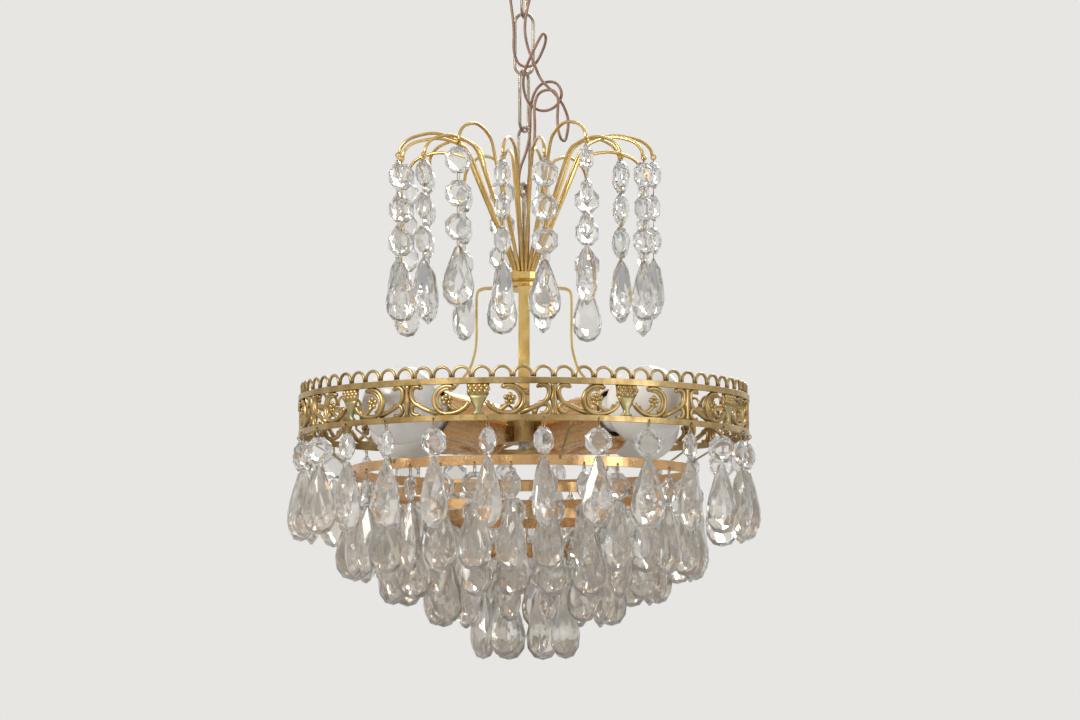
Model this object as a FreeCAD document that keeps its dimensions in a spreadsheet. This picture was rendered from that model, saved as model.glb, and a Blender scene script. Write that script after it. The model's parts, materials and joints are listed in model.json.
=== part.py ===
import FreeCAD, Part
import math
import os

import Sketcher

from FreeCAD import Placement, Rotation, Vector

# Crystal chandelier, in millimetres. The origin is on the ceiling, in the middle of the mounting
# strap, with +Z up, so every piece hangs below it. The viewer stands on the -Y side.

doc = FreeCAD.newDocument("crystal_chandelier")
sheet = doc.addObject("Spreadsheet::Sheet", "Sizes")
sheet.Label = "Sizes"

DRIVING_SIZES = (
    # ceiling fitting
    ("bar_length", 84), ("bar_width", 16), ("bar_thick", 2.5), ("screw_spacing", 70), ("screw_hole", 5.2),
    ("nipple_radius", 4.8), ("nipple_bore", 3.2), ("thread_gap", 0.05), ("nut_flats", 14), ("nut_height", 3),
    ("canopy_radius", 46), ("canopy_height", 34), ("canopy_rim", 6), ("canopy_floor", 20),
    ("canopy_wall", 1.2), ("bush_place", 14), ("bush_radius", 3), ("bush_flange", 4.2),
    ("collar_radius", 9), ("collar_height", 8), ("loop_radius", 8.25), ("loop_wire", 3.5),
    # chain and hanger
    ("link_length", 50), ("link_width", 16.6), ("link_wire", 2.5), ("link_gap", 0.6),
    ("eye_radius", 4.8), ("rod_wire", 3.4),
    # crown
    ("cup_radius", 12), ("cup_height", 8), ("cup_wall", 1.2), ("cup_base", 2), ("arm_foot", 8.4),
    ("arm_wire", 2.5), ("arm_lean", 38), ("arm_lean_height", 82), ("arm_rise", 109), ("arm_top_start", 54),
    ("arm_top_end", 88), ("crown_radius", 98), ("tip_drop", 17), ("tip_radius", 2.2), ("tip_thick", 1.2),
    ("tip_hole", 1),
    # frame under the crown
    ("cup_level", 69), ("disc_thick", 3), ("strap_width", 8.5), ("strap_thick", 1.8), ("strap_start", 5),
    ("strap_knee", 37), ("strap_foot", 7), ("washer_thick", 1.6), ("rod_nut_flats", 7), ("rod_nut_height", 3),
    # gallery band
    ("ring_radius", 173.5), ("band_height", 32), ("band_thick", 1.6), ("rail_height", 4.5),
    ("rail_thick", 1.8), ("band_hang", 96), ("loop_height", 9.5), ("scallop_wire", 2.4),
    # tiers
    ("tier_height", 7.5), ("tier_thick", 1.5), ("tier_radius_2", 133), ("tier_radius_3", 104),
    ("tier_radius_4", 68), ("tier_radius_5", 35), ("tier_drop_2", 30), ("tier_drop_3", 48),
    ("tier_drop_4", 65), ("tier_drop_5", 90), ("hook_wire", 1.4),
    # crystals
    ("bead_size", 20), ("bead_thick", 8.5), ("bead_step", 25.5), ("drop_length", 50), ("drop_width", 27),
    ("drop_thick", 15), ("crown_drop_length", 47), ("crown_drop_width", 25), ("pin_wire", 1),
    ("hook_drop", 5), ("neck_gap", 4),
    # lamps
    ("lamp_inset", 43.5), ("lamp_level", 18), ("lamp_tilt", 7), ("bulb_radius", 30), ("bulb_neck", 12),
    ("cap_radius", 13), ("cap_length", 24), ("cover_radius", 18.5), ("cover_start", 36),
    ("cover_wall", 1), ("holder_gap", 0.4), ("hub_radius", 20), ("hub_height", 16), ("hub_level", 4),
    # lamp wires
    ("flex_size", 2.2),
)


class Dim:
    """A length that knows its number and the sheet expression it comes from."""

    def __init__(self, number, text):
        self.number, self.text = float(number), text

    def _join(self, other, sign, number):
        other_text = other.text if isinstance(other, Dim) else repr(other)
        return Dim(number, "(%s %s %s)" % (self.text, sign, other_text))

    def __add__(self, other):
        return self._join(other, "+", self.number + amount(other))

    def __sub__(self, other):
        return self._join(other, "-", self.number - amount(other))

    def __mul__(self, other):
        return self._join(other, "*", self.number * amount(other))

    def __truediv__(self, other):
        return self._join(other, "/", self.number / amount(other))

    def __neg__(self):
        return Dim(-self.number, "(0 - %s)" % self.text)


def amount(value):
    return value.number if isinstance(value, Dim) else float(value)


class Sizes:
    """The driving dimensions by name: size.link_wire is a Dim bound to the cell of that alias."""


size = Sizes()
for row, (alias, number) in enumerate(DRIVING_SIZES, start=1):
    sheet.set("A%d" % row, alias)
    sheet.set("B%d" % row, str(number))
    sheet.setAlias("B%d" % row, alias)
doc.recompute()
for alias, number in DRIVING_SIZES:
    setattr(size, alias, Dim(sheet.get(alias), "Sizes." + alias))

ARM_COUNT = 18
MAIN_STRANDS = 26
TIER_STRANDS = {2: 30, 3: 22, 4: 14, 5: 8}
LAMP_COUNT = 4
STRAP_COUNT = 4
ROUND_SIDES = 16           # flats round a small turned piece
LAMP_SIDES = 12            # flats round a lamp and its cover
CANOPY_SIDES = 24          # flats round the canopy
LINK_STEPS = 6             # chords in the half round end of a link
PANELS = 38                # flats of the band: the pattern repeats every four and ends on a half
SCALLOPS = 70
TIER_HOOKS = 6
FRONT = -90                # the direction of the viewer, in degrees about Z
BAND_TURN = FRONT + 7.6    # the front baluster of the gallery's pattern


# ---------------------------------------------------------------- levels, from the ceiling down

loop_centre = -(size.canopy_height + size.collar_height + size.loop_radius - 0.5)
first_pivot = loop_centre - size.loop_radius
link_rise = size.link_wire + size.link_gap          # from a pivot up to the next link's top wire
link_run = size.link_length - size.link_wire        # between a link's top and bottom wires
link_tops = [first_pivot + (size.loop_wire + size.link_wire) / 2 + size.link_gap]
pivots = [first_pivot]
for _ in range(3):
    pivots.append(link_tops[-1] - link_run)
    link_tops.append(pivots[-1] + link_rise)
pivots.append(link_tops[-1] - link_run)
eye_top = pivots[-1] + (size.link_wire + size.rod_wire) / 2 + size.link_gap
eye_centre = eye_top - size.eye_radius
cup_top = eye_top - size.cup_level
cup_floor = cup_top - size.cup_height + size.cup_base
cup_bottom = cup_top - size.cup_height
disc_bottom = cup_bottom - size.disc_thick
strap_bottom = disc_bottom - size.strap_thick
washer_bottom = strap_bottom - size.washer_thick
band_top = cup_top - size.band_hang
band_bottom = band_top - size.band_height
hub_top = band_bottom + size.hub_level + size.hub_height / 2
hub_bottom = hub_top - size.hub_height
strap_seat = size.ring_radius - size.rail_thick - size.band_thick - 0.3
lamp_place = size.ring_radius - size.lamp_inset      # from the axis to a bulb's centre
lamp_seat = size.bulb_radius + size.bulb_neck - 8    # from a bulb's centre back to its cover's mouth
cover_length = lamp_place - lamp_seat - size.cover_start


# ---------------------------------------------------------------- drawing helpers

def origin_plane(body, role):
    return [plane for plane in body.Origin.OriginFeatures if plane.Role == role][0]


def new_body(name):
    body = doc.addObject("PartDesign::Body", name)
    body.Label = name
    return body


def new_sketch(body, name, plane="XZ_Plane"):
    sketch = body.newObject("Sketcher::SketchObject", name)
    sketch.AttachmentSupport = (origin_plane(body, plane), [""])
    sketch.MapMode = "FlatFace"
    return sketch


def hold(sketch, geometry, point, x, y):
    """Holds a point of the sketch at (x, y), each a Dim or a number."""
    for kind, value in (("DistanceX", x), ("DistanceY", y)):
        index = sketch.addConstraint(Sketcher.Constraint(kind, -1, 1, geometry, point, amount(value)))
        if isinstance(value, Dim):
            sketch.setExpression("Constraints[%d]" % index, value.text)


def outline(sketch, corners):
    """A closed outline. A corner is (x, y), or (x, y, radius) where an arc of that radius leads on
    to the next corner: it bulges to the right of the way there, or to the left if radius is < 0."""
    flat = [Vector(amount(c[0]), amount(c[1]), 0) for c in corners]
    for i, corner in enumerate(corners):
        start, end = flat[i], flat[(i + 1) % len(flat)]
        if len(corner) == 3:
            radius = amount(corner[2])
            across = (end - start).cross(Vector(0, 0, 1)).normalize()
            half = (end - start).Length / 2
            sagitta = abs(radius) - math.sqrt(radius * radius - half * half)
            middle = (start + end) * 0.5 + across * math.copysign(sagitta, radius)
            sketch.addGeometry(arc_of(start, middle, end), False)
        else:
            sketch.addGeometry(Part.LineSegment(start, end), False)
    count = len(corners)
    for i, corner in enumerate(corners):
        begin, finish = ends_of(sketch, i, flat[i])
        next_begin, _ = ends_of(sketch, (i + 1) % count, flat[(i + 1) % count])
        sketch.addConstraint(Sketcher.Constraint("Coincident", i, finish, (i + 1) % count, next_begin))
        hold(sketch, i, begin, corner[0], corner[1])
        if len(corner) == 3:
            radius = corner[2]
            index = sketch.addConstraint(Sketcher.Constraint("Radius", i, abs(amount(radius))))
            if isinstance(radius, Dim):
                text = radius.text if radius.number > 0 else "(0 - %s)" % radius.text
                sketch.setExpression("Constraints[%d]" % index, text)


def arc_of(start, middle, end):
    """The arc through three points as the sketcher wants it."""
    circle = Part.Circle(start, middle, end)
    if circle.Axis.z < 0:
        circle = Part.Circle(circle.Center, Vector(0, 0, 1), circle.Radius)
    first, mid, last = (circle.parameter(p) for p in (start, middle, end))
    if (mid - first) % (2 * math.pi) > (last - first) % (2 * math.pi):
        first, last = last, first
    return Part.ArcOfCircle(circle, first, last if last > first else last + 2 * math.pi)


def ends_of(sketch, index, start):
    """Which ends of a sketch line or arc are its beginning and its end, going round the outline."""
    shape = sketch.Geometry[index]
    return (1, 2) if shape.StartPoint.distanceToPoint(start) < 1e-6 else (2, 1)


def revolved(name, corners, level):
    """A turned piece: its half section turned about the vertical axis and set at a level."""
    body = new_body(name)
    outline(new_sketch(body, name + "_section"), corners)
    turn = body.newObject("PartDesign::Revolution", name + "_turn")
    turn.Profile = body.Group[0]
    turn.ReferenceAxis = (body.Group[0], ["V_Axis"])
    turn.Angle = 360
    body.Tip = turn
    set_level(body, level)
    return body


def set_level(item, level):
    item.Placement = Placement(Vector(0, 0, amount(level)), Rotation())
    if isinstance(level, Dim):
        item.setExpression("Placement.Base.z", level.text)


def hexagonal_nut(name, flats, height, bore, level):
    """A nut: a six-sided prism less its bore."""
    prism = doc.addObject("Part::Prism", name + "_hex")
    prism.Polygon = 6
    prism.setExpression("Circumradius", "%s / 2 / cos(30)" % flats.text)
    prism.setExpression("Height", height.text)
    hole = doc.addObject("Part::Cylinder", name + "_bore")
    hole.setExpression("Radius", bore.text)
    hole.setExpression("Height", height.text)
    return cut(name, prism, hole, level)


def cut(name, base, tool, level):
    piece = doc.addObject("Part::Cut", name)
    piece.Label = name
    piece.Base, piece.Tool = base, tool
    set_level(piece, level)
    return piece


def hoop(name, radius, thick, height, sides, level, turn=0):
    """A flat strip bent to a hoop with that many sides, one of its corners at that turn about Z."""
    walls = []
    for part, reach in (("outside", radius), ("inside", radius - thick)):
        prism = doc.addObject("Part::Prism", name + "_" + part)
        prism.Polygon = sides
        prism.setExpression("Circumradius", "%s / cos(%r)" % (reach.text, 180 / sides))
        prism.setExpression("Height", height.text)
        prism.Placement = Placement(Vector(), Rotation(Vector(0, 0, 1), turn))
        walls.append(prism)
    return cut(name, walls[0], walls[1], level)


def feature(name, shape, level=0):
    """A sub-part whose shape is worked out here, set at a level."""
    piece = doc.addObject("Part::Feature", name)
    piece.Label = name
    piece.Shape = shape
    piece.Placement = Placement(Vector(0, 0, amount(level)), Rotation()).multiply(shape.Placement)
    return piece


def polar(radius, degrees, z=0.0):
    turn = math.radians(degrees)
    return Vector(radius * math.cos(turn), radius * math.sin(turn), z)


def turned(shape, degrees):
    copy = shape.copy()
    copy.rotate(Vector(), Vector(0, 0, 1), degrees)
    return copy


def polygon_section(centre, along, radius, sides, up=Vector(0, 0, 1)):
    """A regular polygon of that circumradius, square to a direction."""
    along = Vector(along).normalize()
    side = along.cross(up)
    if side.Length < 1e-6:
        side = along.cross(Vector(1, 0, 0))
    side.normalize()
    other = along.cross(side)
    ring = []
    for k in range(sides):
        turn = 2 * math.pi * (k + 0.5) / sides
        ring.append(centre + side * (radius * math.cos(turn)) + other * (radius * math.sin(turn)))
    return Part.makePolygon(ring + ring[:1])


def wire_radius(diameter, sides):
    """The circumradius that gives a polygon the area of a round wire of that diameter."""
    area = math.pi * diameter * diameter / 4
    return math.sqrt(area / (0.5 * sides * math.sin(2 * math.pi / sides)))


def rounded_path(points, share=0.45):
    """Straight runs joined by tangent arcs, each as large as that share of its shorter run allows.
    Returns the wire, its length and the radii."""
    edges, radii, length = [], [], 0.0
    here = points[0]
    for before, corner, after in zip(points, points[1:], points[2:]):
        inward, outward = (before - corner), (after - corner)
        shorter = min(inward.Length, outward.Length)
        inward.normalize()
        outward.normalize()
        half_turn = (math.pi - inward.getAngle(outward)) / 2
        cut_back = share * shorter
        radius = cut_back / math.tan(half_turn)
        start, end = corner + inward * cut_back, corner + outward * cut_back
        bisector = (inward + outward).normalize()
        centre = corner + bisector * (radius / math.cos(half_turn))
        edges.append(Part.LineSegment(here, start).toShape())
        edges.append(Part.Arc(start, centre - bisector * radius, end).toShape())
        radii.append(radius)
        length += (start - here).Length + radius * 2 * half_turn
        here = end
    edges.append(Part.LineSegment(here, points[-1]).toShape())
    length += (points[-1] - here).Length
    return Part.Wire(edges), length, radii


def swept(section, path):
    pipe = path.makePipeShell([section], True, False)
    return pipe if pipe.ShapeType == "Solid" else Part.Solid(pipe)


def bent_wire(route, diameter, sides, closed=False):
    """A solid wire bent in the XZ plane through the corners of its route, with mitred corners."""
    radius = wire_radius(diameter, sides)
    count = len(route)
    rings = []
    for k, point in enumerate(route):
        before = route[k - 1] if closed or k else point * 2 - route[1]
        after = route[(k + 1) % count] if closed or k < count - 1 else point * 2 - route[-2]
        inward, outward = (point - before).normalize(), (after - point).normalize()
        across = (inward + outward).normalize().cross(Vector(0, 1, 0))
        stretch = 1 / across.dot(outward.cross(Vector(0, 1, 0)))
        ring = []
        for n in range(sides):
            turn = 2 * math.pi * (n + 0.5) / sides
            ring.append(point + across * (radius * stretch * math.cos(turn)) +
                        Vector(0, radius * math.sin(turn), 0))
        rings.append(ring)
    faces = [] if closed else [rings[0], rings[-1]]
    for ring, following in zip(rings, rings[1:] + (rings[:1] if closed else [])):
        faces += [(ring[n - 1], ring[n], following[n], following[n - 1]) for n in range(sides)]
    return solid_of(faces)


def flat_bar(route, width, thick):
    """A flat bar bent the easy way in the XZ plane through the corners of its route."""
    rings = []
    for k, point in enumerate(route):
        before = route[k - 1] if k else point * 2 - route[1]
        after = route[k + 1] if k < len(route) - 1 else point * 2 - route[-2]
        inward, outward = (point - before).normalize(), (after - point).normalize()
        across = (inward + outward).normalize().cross(Vector(0, 1, 0))
        across = across * (thick / 2 / across.dot(outward.cross(Vector(0, 1, 0))))
        side = Vector(0, width / 2, 0)
        rings.append([point + across + side, point - across + side, point - across - side,
                      point + across - side])
    faces = [rings[0], rings[-1]]
    for ring, following in zip(rings, rings[1:]):
        faces += [(ring[n - 1], ring[n], following[n], following[n - 1]) for n in range(4)]
    return solid_of(faces)


def arc_points(centre_x, centre_z, reach_x, reach_z, start, end, steps):
    """Corners along part of an ellipse in the XZ plane, between two angles in degrees."""
    angles = [math.radians(start + (end - start) * k / steps) for k in range(steps + 1)]
    return [Vector(centre_x + reach_x * math.cos(a), 0, centre_z + reach_z * math.sin(a)) for a in angles]


def solid_of(faces):
    return Part.Solid(Part.Shell([Part.Face(Part.makePolygon(list(f) + [f[0]])) for f in faces]))


def lathe(corners, sides):
    """A turned piece with flat sides: its half section, as (radius, height) pairs, round Z."""
    turns = [2 * math.pi * k / sides for k in range(sides + 1)]
    faces = []
    for k, (r, z) in enumerate(corners):
        other_r, other_z = corners[k - 1]
        if max(r, other_r) == 0:
            continue
        first = [Vector(r * math.cos(t), r * math.sin(t), z) for t in turns]
        second = [Vector(other_r * math.cos(t), other_r * math.sin(t), other_z) for t in turns]
        if min(r, other_r) == 0 and z == other_z:
            faces.append((first if r else second)[:-1])
        elif r == 0:
            faces += [(second[n], second[n + 1], first[0]) for n in range(sides)]
        elif other_r == 0:
            faces += [(first[n], first[n + 1], second[0]) for n in range(sides)]
        else:
            faces += [(first[n], first[n + 1], second[n + 1], second[n]) for n in range(sides)]
    return solid_of(faces)


# ---------------------------------------------------------------- ceiling fitting

def ceiling_bar():
    """The steel mounting bar: a threaded middle hole and a screw hole at each end."""
    body = new_body("ceiling_bar")
    long, wide = size.bar_length / 2, size.bar_width / 2
    plan = new_sketch(body, "bar_plan", "XY_Plane")
    outline(plan, [(-long, -wide), (long, -wide), (long, wide), (-long, wide)])
    pad = body.newObject("PartDesign::Pad", "bar_pad")
    pad.Profile = plan
    pad.setExpression("Length", size.bar_thick.text)
    holes = new_sketch(body, "bar_holes", "XY_Plane")
    for index, (x, radius) in enumerate((
            (Dim(0, "0"), size.nipple_radius + size.thread_gap),
            (size.screw_spacing / 2, size.screw_hole / 2),
            (-size.screw_spacing / 2, size.screw_hole / 2))):
        holes.addGeometry(Part.Circle(Vector(x.number, 0, 0), Vector(0, 0, 1), radius.number), False)
        row = holes.addConstraint(Sketcher.Constraint("Radius", index, radius.number))
        holes.setExpression("Constraints[%d]" % row, radius.text)
        hold(holes, index, 3, x, 0)
    pocket = body.newObject("PartDesign::Pocket", "bar_pocket")
    pocket.Profile = holes
    pocket.Type = 1
    pocket.Midplane = True
    body.Tip = pocket
    set_level(body, -size.bar_thick)
    return body


def canopy():
    """The spun bell that hides the fitting, with a bore for the nipple and two for the wires."""
    wall, floor = size.canopy_wall.number, size.canopy_floor.number
    rim, radius, height = size.canopy_rim.number, size.canopy_radius.number, size.canopy_height.number
    bore = (size.nipple_radius.number + size.thread_gap.number) / math.cos(math.pi / CANOPY_SIDES)
    bend = [(floor + (radius - floor) * math.sin(math.radians(a)),
             -rim - (height - rim) * math.cos(math.radians(a))) for a in (0, 35, 65, 90)]
    outside = bend + [(radius, 0)]
    inside = [(r - wall * r / radius, z + wall * (z < -rim)) for r, z in reversed(outside)]
    bell = lathe([(bore, -height)] + outside + inside + [(bore, wall - height)], CANOPY_SIDES)
    holes = []
    for side in (-1, 1):
        ring = [Vector(side * size.bush_place.number, 0, -height - 1) +
                polar(size.bush_radius.number + size.thread_gap.number, k * 30 + 15) for k in range(12)]
        holes.append(Part.Face(Part.makePolygon(ring + ring[:1])).extrude(Vector(0, 0, wall + 2)))
    return feature("canopy", bell.cut(holes))


def canopy_nipple():
    """The hollow threaded tube that ties the bar, the canopy and the loop together."""
    start, end = -0.5, -(size.canopy_height + size.collar_height - 2)
    return revolved("canopy_nipple", [
        (size.nipple_bore, end), (size.nipple_radius, end), (size.nipple_radius, start),
        (size.nipple_bore, start)], 0)


def ring_of_wire(centre_z, radius, wire, sides):
    """A closed ring of wire in the XZ plane."""
    return bent_wire(arc_points(0, centre_z, radius, radius, 90, 450, 12)[:-1], wire, sides, True)


def canopy_loop():
    """The collar screwed on the nipple, with the ring that the chain hangs from."""
    height, gap = size.collar_height.number, size.thread_gap.number
    radius = size.collar_radius.number
    bore = (size.nipple_radius.number + gap) / math.cos(math.pi / ROUND_SIDES)
    collar = lathe([(0, 0), (radius - 2, 0), (radius, 2), (radius, height), (bore, height), (bore, 2),
                    (0, 2)], ROUND_SIDES)
    ring = ring_of_wire(-size.loop_radius.number + 0.5, size.loop_radius.number,
                        size.loop_wire.number, 6)
    hollow = Part.makeBox(8, 8, height, Vector(-4, -4, 2))
    return feature("canopy_loop", collar.fuse(ring.cut(hollow)).removeSplitter(),
                   -(size.canopy_height + size.collar_height))


def wire_bushes():
    """The two flanged bushes in the canopy floor that the lamp wires leave through."""
    height, wall, flange = size.canopy_height.number, size.canopy_wall.number, 1
    hole = size.flex_size.number / 2 + 0.25
    bush = lathe([(hole, wall + 1), (hole, -flange), (size.bush_flange.number, -flange),
                  (size.bush_flange.number, 0), (size.bush_radius.number, 0),
                  (size.bush_radius.number, wall + 1)], 12)
    bush.rotate(Vector(), Vector(0, 0, 1), 15)
    bushes = [moved(bush, Vector(side * size.bush_place.number, 0, -height), 0) for side in (-1, 1)]
    return feature("wire_bushes", Part.makeCompound(bushes))


# ---------------------------------------------------------------- chain and hanger

def chain_link(name, top_wire, yaw):
    """An oval link of wire, hanging in the upright plane turned by yaw about Z."""
    wire = size.link_wire.number
    bend = (size.link_width.number - wire) / 2
    low = bend - (size.link_length.number - wire)
    route = arc_points(0, -bend, bend, bend, 0, 180, LINK_STEPS)
    route += arc_points(0, low, bend, bend, 180, 360, LINK_STEPS)
    return feature(name, turned(bent_wire(route, wire, 6, True), yaw), top_wire)


LINK_YAWS = (76, 0, 62, -52)
HANGER_YAW = 60


def hanger_rod():
    """The eye and rod that carry everything below: the rod ends under the lamp hub."""
    wire, radius = size.rod_wire.number, size.eye_radius.number
    eye = ring_of_wire(-radius, radius, wire, 6)
    length = (eye_top - hub_bottom).number + 2 * size.rod_nut_height.number - 2 * radius
    rod = lathe([(0, -2 * radius - length), (wire / 2, -2 * radius - length), (wire / 2, -2 * radius),
                 (0, -2 * radius)], ROUND_SIDES)
    return feature("hanger_rod", turned(eye.fuse(rod).removeSplitter(), HANGER_YAW), eye_top)


# ---------------------------------------------------------------- crown

def crown_cup():
    """The turned cup that the arms stand in, with its bore for the rod."""
    radius, wall = size.cup_radius.number, size.cup_wall.number
    height, base = size.cup_height.number, size.cup_base.number
    bore = rod_bore_corner()
    return feature("crown_cup", lathe([
        (bore, 0), (radius - 2, 0), (radius, 3), (radius, height), (radius - wall, height),
        (radius - wall, base), (bore, base)], ROUND_SIDES), cup_bottom)


def rod_bore_corner():
    """The corner radius of a flat-sided bore that clears the rod by the thread gap."""
    return (size.rod_wire.number / 2 + size.thread_gap.number) / math.cos(math.pi / ROUND_SIDES)


def arm_frame(index):
    """Where an arm stands in the cup, tipped a little sideways about its foot."""
    about = Rotation(Vector(1, 0, 0), 1.6 * math.sin(1.3 * index + 0.5))
    foot = Vector(size.arm_foot.number, 0, 0.15)
    tipped = Placement(foot, about).multiply(Placement(-foot, Rotation()))
    return Placement(Vector(), Rotation(Vector(0, 0, 1), arm_angle(index))).multiply(tipped)


def arm_angle(index):
    return FRONT + 10 + index * 360 / ARM_COUNT


def tip_of(index):
    """The hole in an arm's tip, in the arm's own XZ plane: the arms were bent by hand, so no two
    reach quite as far or as high."""
    rise = size.arm_rise.number - size.tip_drop.number - 7 * math.cos(2.6 * index)
    return Vector(size.crown_radius.number + 2 * math.sin(1.9 * index), 0, rise)


def crown_arm(index):
    """One arm in the XZ plane, its foot at height 0: it leans out, arches over and ends in a
    flattened tip with a hole for the strand's hook."""
    hole, tip = tip_of(index), size.tip_radius.number
    foot, rise = size.arm_foot.number, hole.z + size.tip_drop.number
    lean, lean_z = size.arm_lean.number, size.arm_lean_height.number
    top = (size.arm_top_start.number + size.arm_top_end.number) / 2
    route = [Vector(foot, 0, 0.15), Vector(foot + 1, 0, 12), Vector(lean, 0, lean_z)]
    route += arc_points(top, lean_z + 4, top - lean - 2, rise - lean_z - 4, 145, 85, 2)
    route += arc_points(top, hole.z + tip / 2, hole.x - 1 - top, rise - hole.z - tip / 2, 48, 0, 1)
    rod = bent_wire(route, size.arm_wire.number, 4)
    half = size.tip_thick.number / 2
    blade = prism_along_y(hole, tip * 1.1, 6, half)
    clear = Part.makeBox(8, 8, 2 * tip + 2, Vector(hole.x - 4, half, hole.z - tip - 2))
    rod = rod.cut([clear, clear.mirror(Vector(), Vector(0, 1, 0))])
    return rod.fuse(blade).cut(prism_along_y(hole, size.tip_hole.number * 1.2, 4, half)).removeSplitter()


def prism_along_y(centre, radius, sides, half):
    """A prism of that many sides about a line along Y."""
    section = polygon_section(centre - Vector(0, half, 0), Vector(0, 1, 0), radius, sides)
    return Part.Face(section).extrude(Vector(0, 2 * half, 0))


def crown_arms():
    arms = []
    for k in range(ARM_COUNT):
        arm = crown_arm(k)
        arm.transformShape(arm_frame(k).toMatrix(), True)
        arms.append(arm)
    return feature("crown_arms", Part.makeCompound(arms), cup_floor)


# ---------------------------------------------------------------- crystals

def bead(diameter, thick):
    """An octagon, a flat side up, cut to a point on each face."""
    radius = diameter / 2 / math.cos(math.pi / 8)
    ring = [Vector(radius * math.cos(math.pi / 8 * (2 * k + 1)), 0,
                   radius * math.sin(math.pi / 8 * (2 * k + 1))) for k in range(8)]
    faces = []
    for tip in (Vector(0, thick / 2, 0), Vector(0, -thick / 2, 0)):
        faces += [(ring[k - 1], ring[k], tip) for k in range(8)]
    return solid_of(faces)


def drop(length, width, thick):
    """A teardrop with its point up at height 0, cut to a ridge down the middle of each face."""
    half = width / 2
    side = [(0.42, 0.2), (0.9, 0.47), (1, 0.68), (0.62, 0.92)]
    ring = [Vector(0, 0, 0)] + [Vector(-half * x, 0, -length * z) for x, z in side]
    ring += [Vector(0, 0, -length)] + [Vector(half * x, 0, -length * z) for x, z in reversed(side)]
    faces = []
    for front in (thick / 2, -thick / 2):
        upper, lower = Vector(0, front, -length * 0.36), Vector(0, front, -length * 0.78)
        for k in range(len(ring)):
            a, b = ring[k - 1], ring[k]
            faces.append((a, b, upper if (a.z + b.z) / 2 > -length * 0.62 else lower))
        faces += [(ring[3], upper, lower), (ring[7], upper, lower)]
    return solid_of(faces)


def pin(top, bottom, wire):
    """The doubled wire between two crystals, as one thin three-sided pin."""
    section = polygon_section(Vector(0, 0, bottom), Vector(0, 0, 1), wire * 0.75, 3, Vector(0, 1, 0))
    return Part.Face(section).extrude(Vector(0, 0, top - bottom))


def moved(shape, place, yaw):
    copy = shape.copy()
    copy.rotate(Vector(), Vector(0, 0, 1), yaw)
    copy.translate(place)
    return copy


def tip_hook():
    """The closed wire link through an arm's tip, in the YZ plane, its top bar at height 0."""
    wire = size.pin_wire.number
    inside = size.tip_thick.number / 2 + 0.4
    reach = size.tip_radius.number * 1.1 + 0.4
    outer = Part.makeBox(wire, 2 * (inside + wire), reach + 1.5 * wire,
                         Vector(-wire / 2, -inside - wire, -reach - wire))
    window = Part.makeBox(wire, 2 * inside, reach - wire / 2, Vector(-wire / 2, -inside, -reach))
    return outer.cut(window)


def crown_strand(index):
    """Three octagons and a teardrop on wire pins, hung from the tip of one arm."""
    angle = arm_angle(index)
    wire = size.pin_wire.number
    bead_size, step = size.bead_size.number, size.bead_step.number
    octagon = bead(bead_size, size.bead_thick.number)
    z = -(size.tip_radius.number * 1.1 + 0.4 + wire)
    pieces = [turned(tip_hook(), angle)]
    yaw = STRAND_YAWS[index]
    for k in range(3):
        centre = z - bead_size / 2 - k * step
        pieces.append(moved(octagon, Vector(0, 0, centre), yaw + TWISTS[k]))
        below = centre - bead_size / 2
        gap = step - bead_size if k < 2 else size.neck_gap.number
        pieces.append(moved(pin(below, below - gap, wire), Vector(), yaw))
        z_end = below - gap
    tear = drop(size.crown_drop_length.number, size.crown_drop_width.number, size.drop_thick.number)
    pieces.append(moved(tear, Vector(0, 0, z_end), yaw + TWISTS[3]))
    strand = Part.makeCompound(pieces)
    strand.translate(arm_frame(index).multVec(tip_of(index)))
    return feature("crown_strand_%02d" % (index + 1), strand, cup_floor)


# The way each strand of the crown faces about its own wire, in degrees, as it hangs in the picture,
# and how far its three octagons and its teardrop are twisted from that.
STRAND_YAWS = (4, 78, 62, 40, 70, 95, 60, 20, 75, 10, 55, 100, 35, 80, 15, 60, 8, 66)
TWISTS = (0, 6, -5, 4)


def ring_strands(name, count, radius, level, phase, octagon):
    """The strands of one ring: each an octagon on a hook with a teardrop on it, turned unevenly."""
    wire, bead_size = size.pin_wire.number, size.bead_size.number
    tear = drop(size.drop_length.number + size.neck_gap.number - 0.3, size.drop_width.number,
                size.drop_thick.number)
    hook = pin(0, -size.hook_drop.number, wire)
    top = -size.hook_drop.number
    pieces = []
    for k in range(count):
        angle = phase + k * 360 / count
        place = polar(radius, angle)
        yaw = angle + 90 + 55 * math.sin(2.4 * k + count)
        pieces.append(moved(hook, place, angle))
        pieces.append(moved(octagon, place + Vector(0, 0, top - bead_size / 2), yaw))
        pieces.append(moved(tear, place + Vector(0, 0, top - bead_size - 0.3), yaw + 18))
    return feature(name, Part.makeCompound(pieces), level)


# ---------------------------------------------------------------- frame under the crown

def frame_disc(name, thick, level):
    """A plain round plate on the rod."""
    rod_bore = size.rod_wire / 2 + size.thread_gap
    return hoop(name, size.cup_radius, size.cup_radius - rod_bore, thick, ROUND_SIDES, level)


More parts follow.
